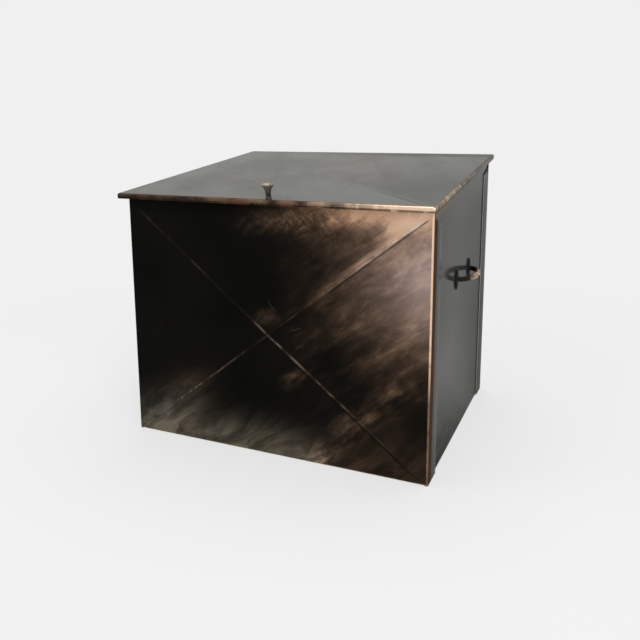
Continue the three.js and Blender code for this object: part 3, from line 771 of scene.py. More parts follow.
class LOGBOX_OT_lid_panel(bpy.types.Operator):
    """Lid with its rim, its hem and a shallow cross-break"""

    bl_idname = "logbox.lid_panel"
    bl_label = "Lid panel"

    def execute(self, context):
        sizes = context.scene.box_sheet_sizes
        drawing = Drawing()
        half = LID_HALF_WIDTH - LID_CORNER
        front = LID_FRONT + LID_CORNER
        half_x, half_y, middle = LID_FIELD
        pressed = creased(*LID_FIELD, sizes.lid_rise / MM, sizes.lid_bead / MM)
        wave = rippled((-half_x, front), (half_x, LID_CREASE_BACK), RIPPLE_SEEDS["lid"])

        def web(x, y):
            return (x, y, pressed(x, y) + wave(x, y))
        inner_x = field_lines(half_x, half_y, 0, half_x)
        inner_y = field_lines(half_x, half_y, middle, half_y)
        borders_x = ([-half, -half_x - 4.5, -half_x], [half_x, half_x + 4.5, half])
        back_y = [LID_CREASE_BACK, -14, -6, LID_HEM_START, LID_NOSE - LID_CLIP, LID_NOSE]
        lines_y = inner_y[:-1] + back_y
        lines_x = borders_x[0][:-1] + inner_x + borders_x[1][1:]
        for border in borders_x:
            drawing.patch(web, border, lines_y)
        drawing.patch(web, inner_x, back_y)
        crossed_field(drawing, half_x, half_y, middle, lambda x, y: web(x, y)[2])
        rim = section(LID_CORNER - FOLD, (FOLD, math.pi / 2), LID_RIM - FOLD)

        def clipped(drop, y):
            return min(drop, LID_RIM - max(0, y - (LID_NOSE - LID_CLIP)))
        tray_edges(drawing, rim, half, (front, LID_NOSE), lines_x, lines_y, False, clipped)
        hem = section((LID_HEM, math.pi), LID_NOSE - LID_HEM_START)
        drawing.edge(lambda out, drop, x: (x, LID_NOSE + out, -drop), hem, lines_x)
        place = IN_LID @ Matrix.Translation((0, 0, LID_TOP))
        holes = [
            cutter([(0, -DRILL_REACH), (RIVET_HOLE, -DRILL_REACH), (RIVET_HOLE, -1.2), (3.5, 0),
                    (3.5, 2), (0, 2)], place @ Matrix.Translation((x, -RIVET_SETBACK, 0)))
            for x in rivet_places()
        ]
        holes.append(drill(SCREW_HOLE, -6, 3, place @ Matrix.Translation((*KNOB_PLACE, 0))))
        finished("lid_panel_sheet", drawing, place, "lid", ["lid_panel"],
                 lid_patina(), bevel=TRAY_BEVEL, thickness=LID_SHEET, cutters=holes)
        return {"FINISHED"}


# Hinges, rivets, knob and handles

def rivet_places():
    """Places of the rivets along X, three to a hinge."""
    return [hinge + step * RIVET_PITCH for hinge in HINGE_PLACES for step in (-1, 0, 1)]


def hinge_matrix(x, on_lid):
    """Frame of a leaf on its pin: the plate runs towards -Y and its outer face is up."""
    if on_lid:
        return IN_LID @ Matrix.Translation((x, 0, 0))
    pin = IN_BODY @ Matrix.Translation((x, PIN_Y, PIN_HEIGHT))
    return pin @ Matrix.Rotation(math.pi / 2, 4, "X")


def hinge_leaf(first):
    """Leaf with rolled knuckles, every second one from the first."""
    drawing = Drawing()
    half = HINGE_LENGTH / 2
    near = -KNUCKLE - GAP
    outline = [(half, near), (-half, near)]
    for side in (-1, 1):
        start = math.pi if side < 0 else math.pi * 1.5
        for angle in between(start, start + math.pi / 2, FOLD_STEPS):
            outline.append((
                side * (half - LEAF_CORNER) + LEAF_CORNER * math.cos(angle),
                LEAF_CORNER - LEAF_WIDTH + LEAF_CORNER * math.sin(angle),
            ))
    low, high = KNUCKLE - LEAF_SHEET, KNUCKLE
    drawing.ring([[(x, y, z) for x, y in outline] for z in (low, high)])
    drawing.face(*[(x, y, low) for x, y in outline])
    drawing.face(*[(x, y, high) for x, y in outline])
    pitch = HINGE_LENGTH / KNUCKLE_COUNT
    for knuckle in range(first, KNUCKLE_COUNT, 2):
        start = knuckle * pitch - half + GAP / 2
        end = start + pitch - GAP
        angles = between(math.pi / 2, -math.pi * 1.25, ROLL_STEPS)
        outer = [(KNUCKLE * math.cos(a), KNUCKLE * math.sin(a)) for a in angles]
        inner = [(PIN_BORE * math.cos(a), PIN_BORE * math.sin(a)) for a in reversed(angles)]
        roll = [(near + ROLL_OVERLAP, KNUCKLE)] + outer + inner + [(near + ROLL_OVERLAP, low)]
        drawing.ring([[(x, y, z) for y, z in roll] for x in (start, end)])
        for x in (start, end):
            for index in range(len(roll) // 2 - 1):
                near_pair, far_pair = roll[index:index + 2], (roll[-2 - index], roll[-1 - index])
                drawing.face(*[(x, y, z) for y, z in (*near_pair, *far_pair)])
    return drawing


def hinge_pin():
    """Pin about Z with a head at its lower end."""
    half = HINGE_LENGTH / 2 + GAP
    return lathe([
        (0, -half - 1.2), (2.2, -half - 1.2), (2.75, -half - 0.95), (2.9, -half - 0.6),
        (2.9, -half - 0.2), (2.75, -half), (PIN_RADIUS, -half), (PIN_RADIUS, half - 0.4),
        (PIN_RADIUS - 0.35, half), (0, half),
    ], RIVET_SIDES)


class LOGBOX_OT_hinges(bpy.types.Operator):
    """Butt hinges: leaves with rolled knuckles, and headed pins"""

    bl_idname = "logbox.hinges"
    bl_label = "Hinges"

    def execute(self, context):
        for name, x in zip(("left", "right"), HINGE_PLACES):
            for body, on_lid, first in (("box", False, 0), ("lid", True, 1)):
                part = "hinge_lid_leaf" if on_lid else "hinge_body_leaf"
                place = hinge_matrix(x, on_lid)
                rivets = [
                    place @ Matrix.Translation((step * RIVET_PITCH, -RIVET_SETBACK, 0))
                    for step in (-1, 0, 1)
                ]
                holes = [drill(RIVET_HOLE, 0, LEAF_DRILL, at) for at in rivets]
                finished(f"{name}_{part}_rolled", hinge_leaf(first), place, body,
                         [f"{name}_{part}"], hinge_paint(), bevel=LEAF_BEVEL,
                         smooth=LEAF_SHARP, cutters=holes)
            turn = Matrix.Rotation(math.pi / 2 * (1 if x < 0 else -1), 4, "Y")
            place = IN_BODY @ Matrix.Translation((x, PIN_Y, PIN_HEIGHT)) @ turn
            finished(f"{name}_hinge_pin_turned", hinge_pin(), place, "box", [f"{name}_hinge_pin"],
                     zinc_plate())
        return {"FINISHED"}


def rivet(grip, head):
    """Rivet about Z through sheets of a total thickness, with its head at the top."""
    tail = [(0, -1), (1.9, -1), (2.4, -0.75), (2.6, -0.35), (2.6, 0), (RIVET_SHANK, 0)]
    return lathe([(radius, height - grip) for radius, height in tail] + head, RIVET_SIDES)


class LOGBOX_OT_rivets(bpy.types.Operator):
    """Dome rivets on the back wall and flush rivets in the lid"""

    bl_idname = "logbox.rivets"
    bl_label = "Rivets"

    def execute(self, context):
        radius, height = DOME
        dome = [(RIVET_SHANK, 0)]
        dome += [
            (radius * math.cos(a), height * math.sin(a)) for a in between(0, math.pi / 2, 7)[:-1]
        ]
        dome.append((0, height))
        flush = [(RIVET_SHANK, -1.2), (3.1, -0.08), (3.16, 0), (2.6, 0.03), (0, 0.05)]
        grip = SHEET + LEAF_SHEET + 2 * GAP
        face = (0, HALF_DEPTH + LEAF_SHEET + 2 * GAP, PIN_HEIGHT - RIVET_SETBACK)
        back = IN_BODY @ Matrix.Translation(face)
        for index, x in enumerate(rivet_places()):
            name = ("left", "right")[index // 3]
            number = index % 3 + 1
            outside = back @ Matrix.Translation((x, 0, 0)) @ Matrix.Rotation(-math.pi / 2, 4, "X")
            finished(f"{name}_hinge_body_rivet_{number}_head", rivet(grip + GAP, dome), outside,
                     "box", [f"{name}_hinge_body_rivet_{number}"], hinge_paint())
            flat = IN_LID @ Matrix.Translation((x, -RIVET_SETBACK, LID_TOP))
            finished(f"{name}_hinge_lid_rivet_{number}_head", rivet(grip, flush), flat,
                     "lid", [f"{name}_hinge_lid_rivet_{number}"], lid_patina())
        return {"FINISHED"}


class LOGBOX_OT_lid_knob(bpy.types.Operator):
    """Trumpet knob with a dished head, its screw and its washer"""

    bl_idname = "logbox.lid_knob"
    bl_label = "Lid knob"

    def execute(self, context):
        stem = [(0, 10), (2.3, 10), (2.3, 0.3), (2.6, 0), (4.5, 0), (4.8, 0.25), (4.8, 0.9),
                (4.55, 1.3), (4.1, 1.5), (3.9, 1.75)]
        flare = [
            (3.75 + 4.75 * share ** 2.6, 2.2 + 15.9 * share ** 0.93)
            for share in between(0, 1, 14)
        ]
        lip = [(8.68, 18.6), (8.7, 19.2), (8.6, 19.9), (8.3, 20.35), (7.9, 20.5), (7.4, 20.4)]
        dish = [
            (7.1 * (1 - share), 20.4 - 2.9 * (1 - abs(1 - share) ** 2.2))
            for share in between(0.08, 1, 9)
        ]
        stand = IN_LID @ Matrix.Translation((*KNOB_PLACE, LID_TOP + GAP))
        finished("lid_knob_turned", lathe(stem + flare + lip + dish, KNOB_SIDES), stand, "lid",
                 ["lid_knob"], knob_copper(), smooth=50)
        washer_low = LID_TOP - SHEET - GAP - KNOB_WASHER
        under = IN_LID @ Matrix.Translation((*KNOB_PLACE, washer_low))
        finished("knob_washer_pressed", washer(SCREW_HOLE, 4.8, KNOB_WASHER), under, "lid",
                 ["knob_washer"], zinc_plate())
        screw = lathe([
            (0, -2.4), (1.6, -2.35), (2.9, -1.9), (3.6, -1.25), (3.8, -0.6), (3.8, 0), (2, 0),
            (2, 11.3), (1.6, 11.7), (0, 11.7),
        ], SCREW_SIDES)
        place = IN_LID @ Matrix.Translation((*KNOB_PLACE, washer_low - GAP))
        slot = Drawing()
        loops = [
            [(-6, -0.5, z), (6, -0.5, z), (6, 0.5, z), (-6, 0.5, z)] for z in (-4, -1.3)
        ]
        slot.ring(loops)
        for loop in loops:
            slot.face(*loop)
        finished("knob_screw_slotted", screw, place, "lid", ["knob_screw"], zinc_plate(),
                 cutters=[tool_piece(slot, place)])
        return {"FINISHED"}


def washer(bore, radius, thick):
    """Round washer about Z with softened edges."""
    lip = 0.15
    return lathe([
        (bore, 0), (radius - lip, 0), (radius, lip), (radius, thick - lip), (radius - lip, thick),
        (bore + lip, thick), (bore, thick - lip), (bore, 0),
    ], WASHER_SIDES)


def nut(flats, height):
    """Hexagon nut about Z whose corners are chamfered at both faces."""
    drawing = Drawing()
    corner = flats / 2 / math.cos(math.pi / 6)
    loops = []
    for z, inset in ((0, 1), (0.45, 0), (height - 0.45, 0), (height, 1)):
        loop = []
        for angle in turns(WASHER_SIDES):
            sector = (angle + math.pi / 6) % (math.pi / 3) - math.pi / 6
            radius = flats / 2 / math.cos(sector)
            rounded = flats / 2 + (corner - flats / 2) * (0.35 if inset else 1)
            radius = min(radius, rounded) - (0.12 if inset else 0)
            loop.append((radius * math.cos(angle), radius * math.sin(angle), z))
        loops.append(loop)
    drawing.ring(loops)
    for loop in (loops[0], loops[-1]):
        drawing.face(*loop)
    return drawing


class LOGBOX_OT_handles(bpy.types.Operator):
    """Forged bow handles with pointed feet, and their washers and nuts inside the walls"""

    bl_idname = "logbox.handles"
    bl_label = "Handles"

    def execute(self, context):
        forged = forging()
        for name, side in (("left", -1), ("right", 1)):
            turn = Matrix.Rotation(0 if side > 0 else math.pi, 4, "Z")
            middle = (side * (SIDE_FACE + GAP), 0, HANDLE_HEIGHT)
            stand = IN_BODY @ Matrix.Translation(middle) @ turn
            data = forged.data.copy()
            data.transform(stand @ IN_METRES.inverted())
            piece = bpy.data.objects.new(f"{name}_handle_forged", data)
            context.scene.collection.objects.link(piece)
            fitted(piece, "box", [f"{name}_handle"], handle_iron())
            inward = Matrix.Rotation(-side * math.pi / 2, 4, "Y")
            for end, where in (("front", -1), ("back", 1)):
                face = SIDE_FACE - SHEET - GAP
                stud = (side * face, where * HANDLE_CENTRES / 2, HANDLE_HEIGHT)
                place = IN_BODY @ Matrix.Translation(stud) @ inward
                finished(f"{name}_handle_washer_{end}_pressed",
                         washer(STUD_HOLE, 6.5, HANDLE_WASHER), place, "box",
                         [f"{name}_handle_washer_{end}"], zinc_plate())
                place = place @ Matrix.Translation((0, 0, HANDLE_WASHER + GAP))
                finished(f"{name}_handle_nut_{end}_hexagon", nut(NUT_FLATS, NUT_HEIGHT), place,
                         "box", [f"{name}_handle_nut_{end}"], zinc_plate(),
                         cutters=[drill(STUD_HOLE, -2, 8, place)])
        bpy.data.objects.remove(forged)
        return {"FINISHED"}


def forging():
    """Bow and feet drawn apart and then run together, as a smith would leave them."""
    drawing = Drawing()
    half = HANDLE_CENTRES / 2

    def bar(loops):
        """Skin through closed loops, with its two ends closed."""
        drawing.ring(loops)
        for loop in (loops[0], loops[-1]):
            drawing.face(*loop)

    bow = []
    for angle in between(0, math.pi, BOW_STEPS):
        centre = Vector((BOW_START + BOW_REACH * math.sin(angle), -half * math.cos(angle), 0))
        forward = Vector((BOW_REACH * math.cos(angle), half * math.sin(angle), 0)).normalized()
        across = Vector((0, 0, 1)).cross(forward)
        radius = 3.2 + 0.75 * math.sin(angle) + 3 * max(0, 1 - centre.x / 6) ** 2
        bow.append([
            tuple(centre + across * radius * math.cos(turn)
                  + Vector((0, 0, radius * 1.2 * math.sin(turn))))
            for turn in turns(BOW_SIDES)
        ])
    bar(bow)
    half_wide, half_high = FOOT_SIZE
    for end in (-1, 1):
        foot = []
        for level, size in FOOT_PROFILE:
            loop = []
            for turn in turns(FOOT_SIDES):
                up = math.sin(turn)
                wide = half_wide * math.cos(turn) * (1 - 0.62 * abs(up) ** 1.6)
                place = (level * FOOT_THICK, end * half + wide * size, half_high * up * size)
                loop.append(place)
            foot.append(loop)
        bar(foot)
        bar([
            [(x, end * half + STUD_RADIUS * math.cos(turn), STUD_RADIUS * math.sin(turn))
             for turn in turns(STUD_SIDES)]
            for x in STUD_ENDS
        ])
    piece = placed("forging", drawing, IN_METRES)
    fuse = piece.modifiers.new("Fuse", "REMESH")
    fuse.mode = "VOXEL"
    fuse.voxel_size = FORGE_CELL * MM
    ease = piece.modifiers.new("Ease", "SMOOTH")
    ease.factor = 0.5
    ease.iterations = 4
    applied(piece)
    for vertex in piece.data.vertices:
        local = vertex.co / MM
        if local.x > FOOT_THICK:
            dent = noise.noise(local / 7) * 0.22 + noise.noise(local / 2.6) * 0.06
            vertex.co += vertex.normal * (dent - 0.12) * MM
    shaded(piece, 60)
    return piece


# Finishes

class Value:
    """A socket whose sums and products add their own Math nodes."""

    def __init__(self, nodes, socket):
        self.nodes = nodes
        self.socket = socket

    def output(self, name):
        """Another output of the same node."""
        return Value(self.nodes, self.socket.node.outputs[name])

    def math(self, operation, *others):
        inputs = dict(enumerate((self, *others)))
        return self.nodes.node("Math", {"operation": operation}, inputs)

    def reflected(self, operation, other):
        return self.nodes.node("Math", {"operation": operation}, {0: other, 1: self})

    def __add__(self, other):
        return self.math("ADD", other)

    __radd__ = __add__

    def __sub__(self, other):
        return self.math("SUBTRACT", other)

    def __rsub__(self, other):
        return self.reflected("SUBTRACT", other)

    def __mul__(self, other):
        return self.math("MULTIPLY", other)

    __rmul__ = __mul__

    def __truediv__(self, other):
        return self.math("DIVIDE", other)

    def __rtruediv__(self, other):
        return self.reflected("DIVIDE", other)

    def __pow__(self, other):
        return self.math("POWER", other)

    def __rpow__(self, other):
        return self.reflected("POWER", other)

    def __abs__(self):
        return self.math("ABSOLUTE")

    def exp(self):
        return self.math("EXPONENT")

    def least(self, other):
        return self.math("MINIMUM", other)

    def most(self, other):
        return self.math("MAXIMUM", other)

    def smooth(self, low, high):
        """0 below low and 1 above high, eased between them; low may be the greater."""
        return self.nodes.node(
            "MapRange", {"interpolation_type": "SMOOTHSTEP", "clamp": True},
            {"Value": self, "From Min": low, "From Max": high, "To Min": 0, "To Max": 1},
        )

    def near(self, middle, reach):
        """1 at the middle, eased to 0 at a distance from it."""
        return abs(self - middle).smooth(reach, 0)


class Nodes:
    """Nodes of a material or of the room under construction."""

    def __init__(self, tree):
        self.tree = tree
        tree.nodes.clear()

    def node(self, kind, settings=None, values=None, output=0):
        """Adds a node: its settings come first, then the values or links of its sockets."""
        node = self.tree.nodes.new("ShaderNode" + kind)
        for key, setting in (settings or {}).items():
            setattr(node, key, setting)
        for key, value in (values or {}).items():
            socket = node.inputs[key]
            if isinstance(value, Value):
                self.tree.links.new(value.socket, socket)
            elif socket.type == "RGBA" and len(value) == 3:
                socket.default_value = (*value, 1)
            else:
                socket.default_value = value
        return Value(self, node.outputs[output]) if len(node.outputs) else None

    def mixed(self, share, first, second):
        """Two surfaces, the second by its share."""
        return self.node("MixShader", values={0: share, 1: first, 2: second})

    def seen(self):
        """1 for rays that the picture shows, straight, mirrored or through glass."""
        ray = self.node("LightPath", output="Is Camera Ray")
        return ray.most(ray.output("Is Glossy Ray")).most(ray.output("Is Transmission Ray"))


class Shader(Nodes):
    """A material under construction."""

    def __init__(self, name):
        self.material = bpy.data.materials.new(name)
        self.material.use_nodes = True
        super().__init__(self.material.node_tree)

    def place(self):
        return self.node("TexCoord", output="Object")

    def parts(self, vector):
        """X, Y and Z of a vector."""
        split = self.node("SeparateXYZ", values={0: vector})
        return [split.output(axis) for axis in "XYZ"]

    def lid_parts(self):
        """X, Y and Z in the frame of the lid."""
        origin = tuple(IN_LID.translation)
        place = self.node("VectorMath", {"operation": "SUBTRACT"}, {0: self.place(), 1: origin})
        turn = {"Vector": place, "Angle": -TILT}
        return self.parts(self.node("VectorRotate", {"rotation_type": "X_AXIS"}, turn))

    def vector(self, x, y, z):
        return self.node("CombineXYZ", values={0: x, 1: y, 2: z})

    def noise(self, vector, scale, detail=3, rough=0.5, warp=0.0):
        values = {
            "Vector": vector, "Scale": scale, "Detail": detail, "Roughness": rough,
            "Distortion": warp,
        }
        return self.node("TexNoise", {"noise_dimensions": "3D"}, values)

    def blend(self, share, first, second):
        """Two colours, the second by its share."""
        settings = {"data_type": "RGBA", "blend_type": "MIX", "clamp_factor": True}
        return self.node("Mix", settings, {0: share, 6: first, 7: second}, output=2)

    def bump(self, height, distance, strength):
        values = {"Height": height, "Distance": distance, "Strength": strength}
        return self.node("Bump", values=values)

    def coat(self, **sockets):
        """Paint or metal, with its sockets named as Blender names them."""
        values = {key.replace("_", " "): value for key, value in sockets.items()}
        return self.node("BsdfPrincipled", values=values)

    def shown(self, surface):
        """The finished material."""
        self.node("OutputMaterial", values={"Surface": surface})
        return self.material


def finish(maker):
    """Makes a material once, for all the pieces that take it."""
    @functools.cache
    def made():
        shader = Shader(maker.__name__)
        return shader.shown(maker(shader, bpy.context.scene.box_finishes))
    return made


def strokes(shader, x, y, lean, seed):
    """Dry brush strokes in a plane that rise to the right: coarse, fine and bristle marks."""
    along = x * math.cos(lean) + y * math.sin(lean)
    across = y * math.cos(lean) - x * math.sin(lean)
    coarse = shader.noise(shader.vector(along * 9, across * 27, seed), 1, 5, 0.66, 0.5)
    fine = shader.noise(shader.vector(along * 26, across * 105, seed + 3), 1, 4, 0.62, 0.5)
    bristle = shader.noise(shader.vector(along * 60, across * 430, seed + 7), 1, 2, 0.5)
    return coarse, fine, bristle


@finish
def front_patina(shader, colours):
    """Black paint with copper dry-brushed over it, thick at the upper right and along the edges;
    the upper right also carries a painted sheen and painted highlights, and the lap on the side a
    painted shade.
    """
    x, y, z = shader.parts(shader.place())
    lean = math.radians(38)
    cloud = shader.noise(shader.place(), 9, 3, 0.55)
    bend = shader.noise(shader.place(), 4.5, 2, 0.5) - 0.5
    coarse, fine, bristle = strokes(shader, x + bend * 0.014, z - bend * 0.024, lean, 2.0)

    def pool(middle_x, middle_z, reach_x, reach_z, lean=0.0):
        """Soft area that fades from 1 at its middle as far as it reaches."""
        across, up = x - middle_x, z - middle_z
        a = (across * math.cos(lean) + up * math.sin(lean)) / reach_x
        b = (up * math.cos(lean) - across * math.sin(lean)) / reach_z
        return ((a * a + b * b) * -2).exp()

    def pools(*areas):
        """Sum of soft areas, each given by its strength, middle, reach and lean."""
        first, *rest = [pool(*area) * strength for strength, *area in areas]
        return sum(rest, first)

    # Painted highlight: a small bright patch near the top right of the front, turned gold further
    # down
    bright = pool(0.222, 0.380, 0.050, 0.017, 0.45) * 0.28
    # Copper laid on thick towards the upper right, its pools placed also as a painted sheen from
    # the light at the right
    copper_and_sheen = pools(
        (0.58, 0.24, 0.39, 0.170, 0.042),
        (0.66, 0.145, 0.386, 0.085, 0.024),
        (0.47, 0.27, 0.32, 0.12, 0.11),
        (0.14, 0.235, 0.24, 0.09, 0.10),
        (0.11, 0.19, 0.31, 0.13, 0.13),
    )
    spots = pools(
        (0.06, 0.044, 0.137, 0.026, 0.014, lean),
        (0.08, 0.130, 0.066, 0.050, 0.022, lean),
        (0.03, 0.21, 0.135, 0.10, 0.030, lean),
        (0.02, -0.004, 0.222, 0.030, 0.016),
        (0.17, 0.080, 0.006, 0.040, 0.022, lean),
        (0.012, 0.15, 0.19, 0.13, 0.10, lean),
        (0.05, 0.03, 0.366, 0.08, 0.022),
    )
    foot = pools(
        (0.13, -0.215, 0.012, 0.090, 0.060, 0.3),
        (0.085, -0.163, 0.062, 0.075, 0.036, 0.75),
        (0.22, -0.04, -0.004, 0.21, 0.056),
        (0.035, 0.22, 0.02, 0.09, 0.07),
    )
    mottle = shader.noise(shader.place(), 34, 5, 0.62)
    streak = (coarse.smooth(0.32, 0.68) * 1.2 + 0.4) * (fine.smooth(0.25, 0.75) * 0.6 + 0.70)
    streak = streak * (bristle.smooth(0.3, 0.7) * 0.2 + 0.90)
    streak = streak * (mottle.smooth(0.3, 0.7) * 0.8 + 0.60)
    hatch = shader.noise(shader.vector((x - z) * 40, (x + z) * 120, 9), 1, 3, 0.6, 0.4)
    streak = streak * (1 + (hatch.smooth(0.35, 0.65) - 0.5) * pool(0.09, 0.38, 0.12, 0.05) * 0.8)
    soft = streak * 0.4 + 0.6
    # Strokes softened at the right, under the painted sheen
    calm = pool(0.24, 0.28, 0.15, 0.13, 0.5).most(copper_and_sheen.least(1)) * 0.9
    # Copper cover, carrying the painted sheen and the painted highlight of the upper right
    metal = copper_and_sheen * (streak + (soft - streak) * calm) + bright * soft
    metal = metal + spots * streak * streak
    metal = metal + foot * (coarse.smooth(0.40, 0.60) * 0.7 + streak * 0.35 + 0.25)
    stray = coarse.smooth(0.58, 0.75) * fine.smooth(0.5, 0.72) * bristle.smooth(0.4, 0.62)

    def scratch(start_x, start_z, end_x, end_z, bow=0.0):
        """Thin mark from one place to another, bowed to one side."""
        length = math.hypot(end_x - start_x, end_z - start_z)
        ahead = ((end_x - start_x) / length, (end_z - start_z) / length)
        along = ((x - start_x) * ahead[0] + (z - start_z) * ahead[1]) / length
        beside = (z - start_z) * ahead[0] - (x - start_x) * ahead[1]
        beside = abs(beside - along * (1 - along) * bow)
        return beside.smooth(0.0013, 0.0002) * abs(along - 0.5).smooth(0.5, 0.2)

    marks = scratch(0.000, 0.252, 0.016, 0.230, -0.010) * 0.45
    for strength, *ends in (
        (0.5, 0.036, 0.204, 0.058, 0.212),
        (0.35, 0.043, 0.176, 0.062, 0.188),
        (0.2, -0.04, 0.338, -0.034, 0.352),
        (0.9, 0.062, 0.004, 0.070, 0.022),
        (0.9, -0.177, 0.010, -0.173, 0.020),
    ):
        marks = marks.most(scratch(*ends) * strength)

    half_x, half_z, middle_z = FRONT_FIELD
    p, q = x / (half_x * MM), (z - middle_z * MM) / (half_z * MM)
    to_mm = half_x * half_z / math.hypot(half_x, half_z)
    falling, rising = (p + q) * to_mm, (p - q) * to_mm
    inside = abs(p).most(abs(q)).smooth(1.0, 0.94)
    # Painted highlight: a band of copper along the upper side of the rising crease at the right,
    # where its facet faces the light
    ridge_highlight = rising.near(-4.0, 9.0) * p.smooth(0.15, 0.75) * 0.26 * streak
    metal = (metal + ridge_highlight * inside + stray * 0.03 + marks * 0.10).least(1)
    worn = shader.noise(shader.place(), 46, 3, 0.6)
    middle = p.smooth(-0.25, 0.02) * p.smooth(0.9, 0.2) * 0.66 + 0.14
    bared = worn.smooth(0.44, 0.60) * (cloud.smooth(0.35, 0.60) * 0.8 + 0.2)
    bead = abs(falling - 0.1).smooth(3.0, 0.5) * (bared * 0.17 + 0.035) * middle
    other = abs(rising + 0.1).smooth(2.6, 0.3) * (bared * 0.12 + 0.03)
    bead = bead.most(other * (abs(p).smooth(0.1, 0.4) * 0.8 + 0.2))
    bead = (bead + metal * bead.smooth(0, 0.05) * 0.30) * inside
    shade = falling.near(-3.1, 2.3) * inside
    shade = shade.most(rising.near(2.5, 1.7) * p.smooth(0.25, 0.5) * abs(q).smooth(1.0, 0.97))

    behind = y - FRONT_FACE
    side = x.smooth(0.2464, 0.2478) * behind.smooth(0.0025, 0.0013)
    side = side * (z.smooth(0.10, 0.24) * 1.05 + 0.26) * (worn.smooth(0.25, 0.6) * 0.5 + 0.6)
    far = x.smooth(-0.2474, -0.2492) * worn * 0.25
    brink = z.smooth(0.0036, 0.0008) * (fine.smooth(0.3, 0.6) * 0.35 + 0.1)
    brink = brink.most(z.smooth(0.3968, 0.3990) * (p.smooth(-0.2, 0.9) * 0.6 + 0.1))
    edge = side.most(far).most(brink).least(1)

    metal = (metal * (1 - shade * 0.8)).most(bead).most(edge)
    # Paler, pinker copper at the right, painted as the colour of the sheen there
    tint = shader.blend(pool(0.27, 0.29, 0.16, 0.12), colours.copper, colours.rose)
    tint = shader.blend(z.smooth(0.13, 0.05) * x.smooth(0.16, 0.02), tint, colours.tan)
    tint = shader.blend(mottle.smooth(0.42, 0.62) * 0.3, tint, colours.bronze)
    # Rubbed edges, and the painted highlight near the top right, turn gold
    tint = shader.blend(edge.most(bright * 2.2), tint, colours.gold)
    tint = shader.blend(bead.smooth(0, 0.2) * 0.7, tint, colours.pale)
    paint = shader.blend(cloud.smooth(0.3, 0.7), colours.paint, (0.0034, 0.0031, 0.0026))
    lap = behind.smooth(0.0040, 0.0055)
    metal = metal * (1 - lap)
    colour = shader.blend(metal, shader.blend(lap, paint, colours.wall_paint), tint)
    height = metal * 0.5 + bristle * 0.2 + fine * 0.3
    normal = shader.bump(height, 0.00012, 0.5)
    face = shader.coat(
        Base_Color=colour, Metallic=metal, IOR=1.09, Normal=normal,
        Roughness=0.42 - metal * 0.04 + bristle * 0.12 - lap * 0.24,
    )
    # Painted shade: copper-rubbed paint on the front's lap along the side wall, just behind the
    # corner and near its foot, laid on as a dark brown matte coat
    brown_in_shade = shader.coat(Base_Color=(0.050, 0.029, 0.016), Roughness=0.6, IOR=1.01, Normal=normal)
    band = x.smooth(0.2478, 0.2486) * behind.smooth(0.0010, 0.0019) * behind.smooth(0.0255, 0.0125)
    band = (band * (worn * 0.4 + 0.7)).most(z.smooth(0.09, 0.02) * lap * 0.3)
    return shader.mixed(band, face, brown_in_shade)


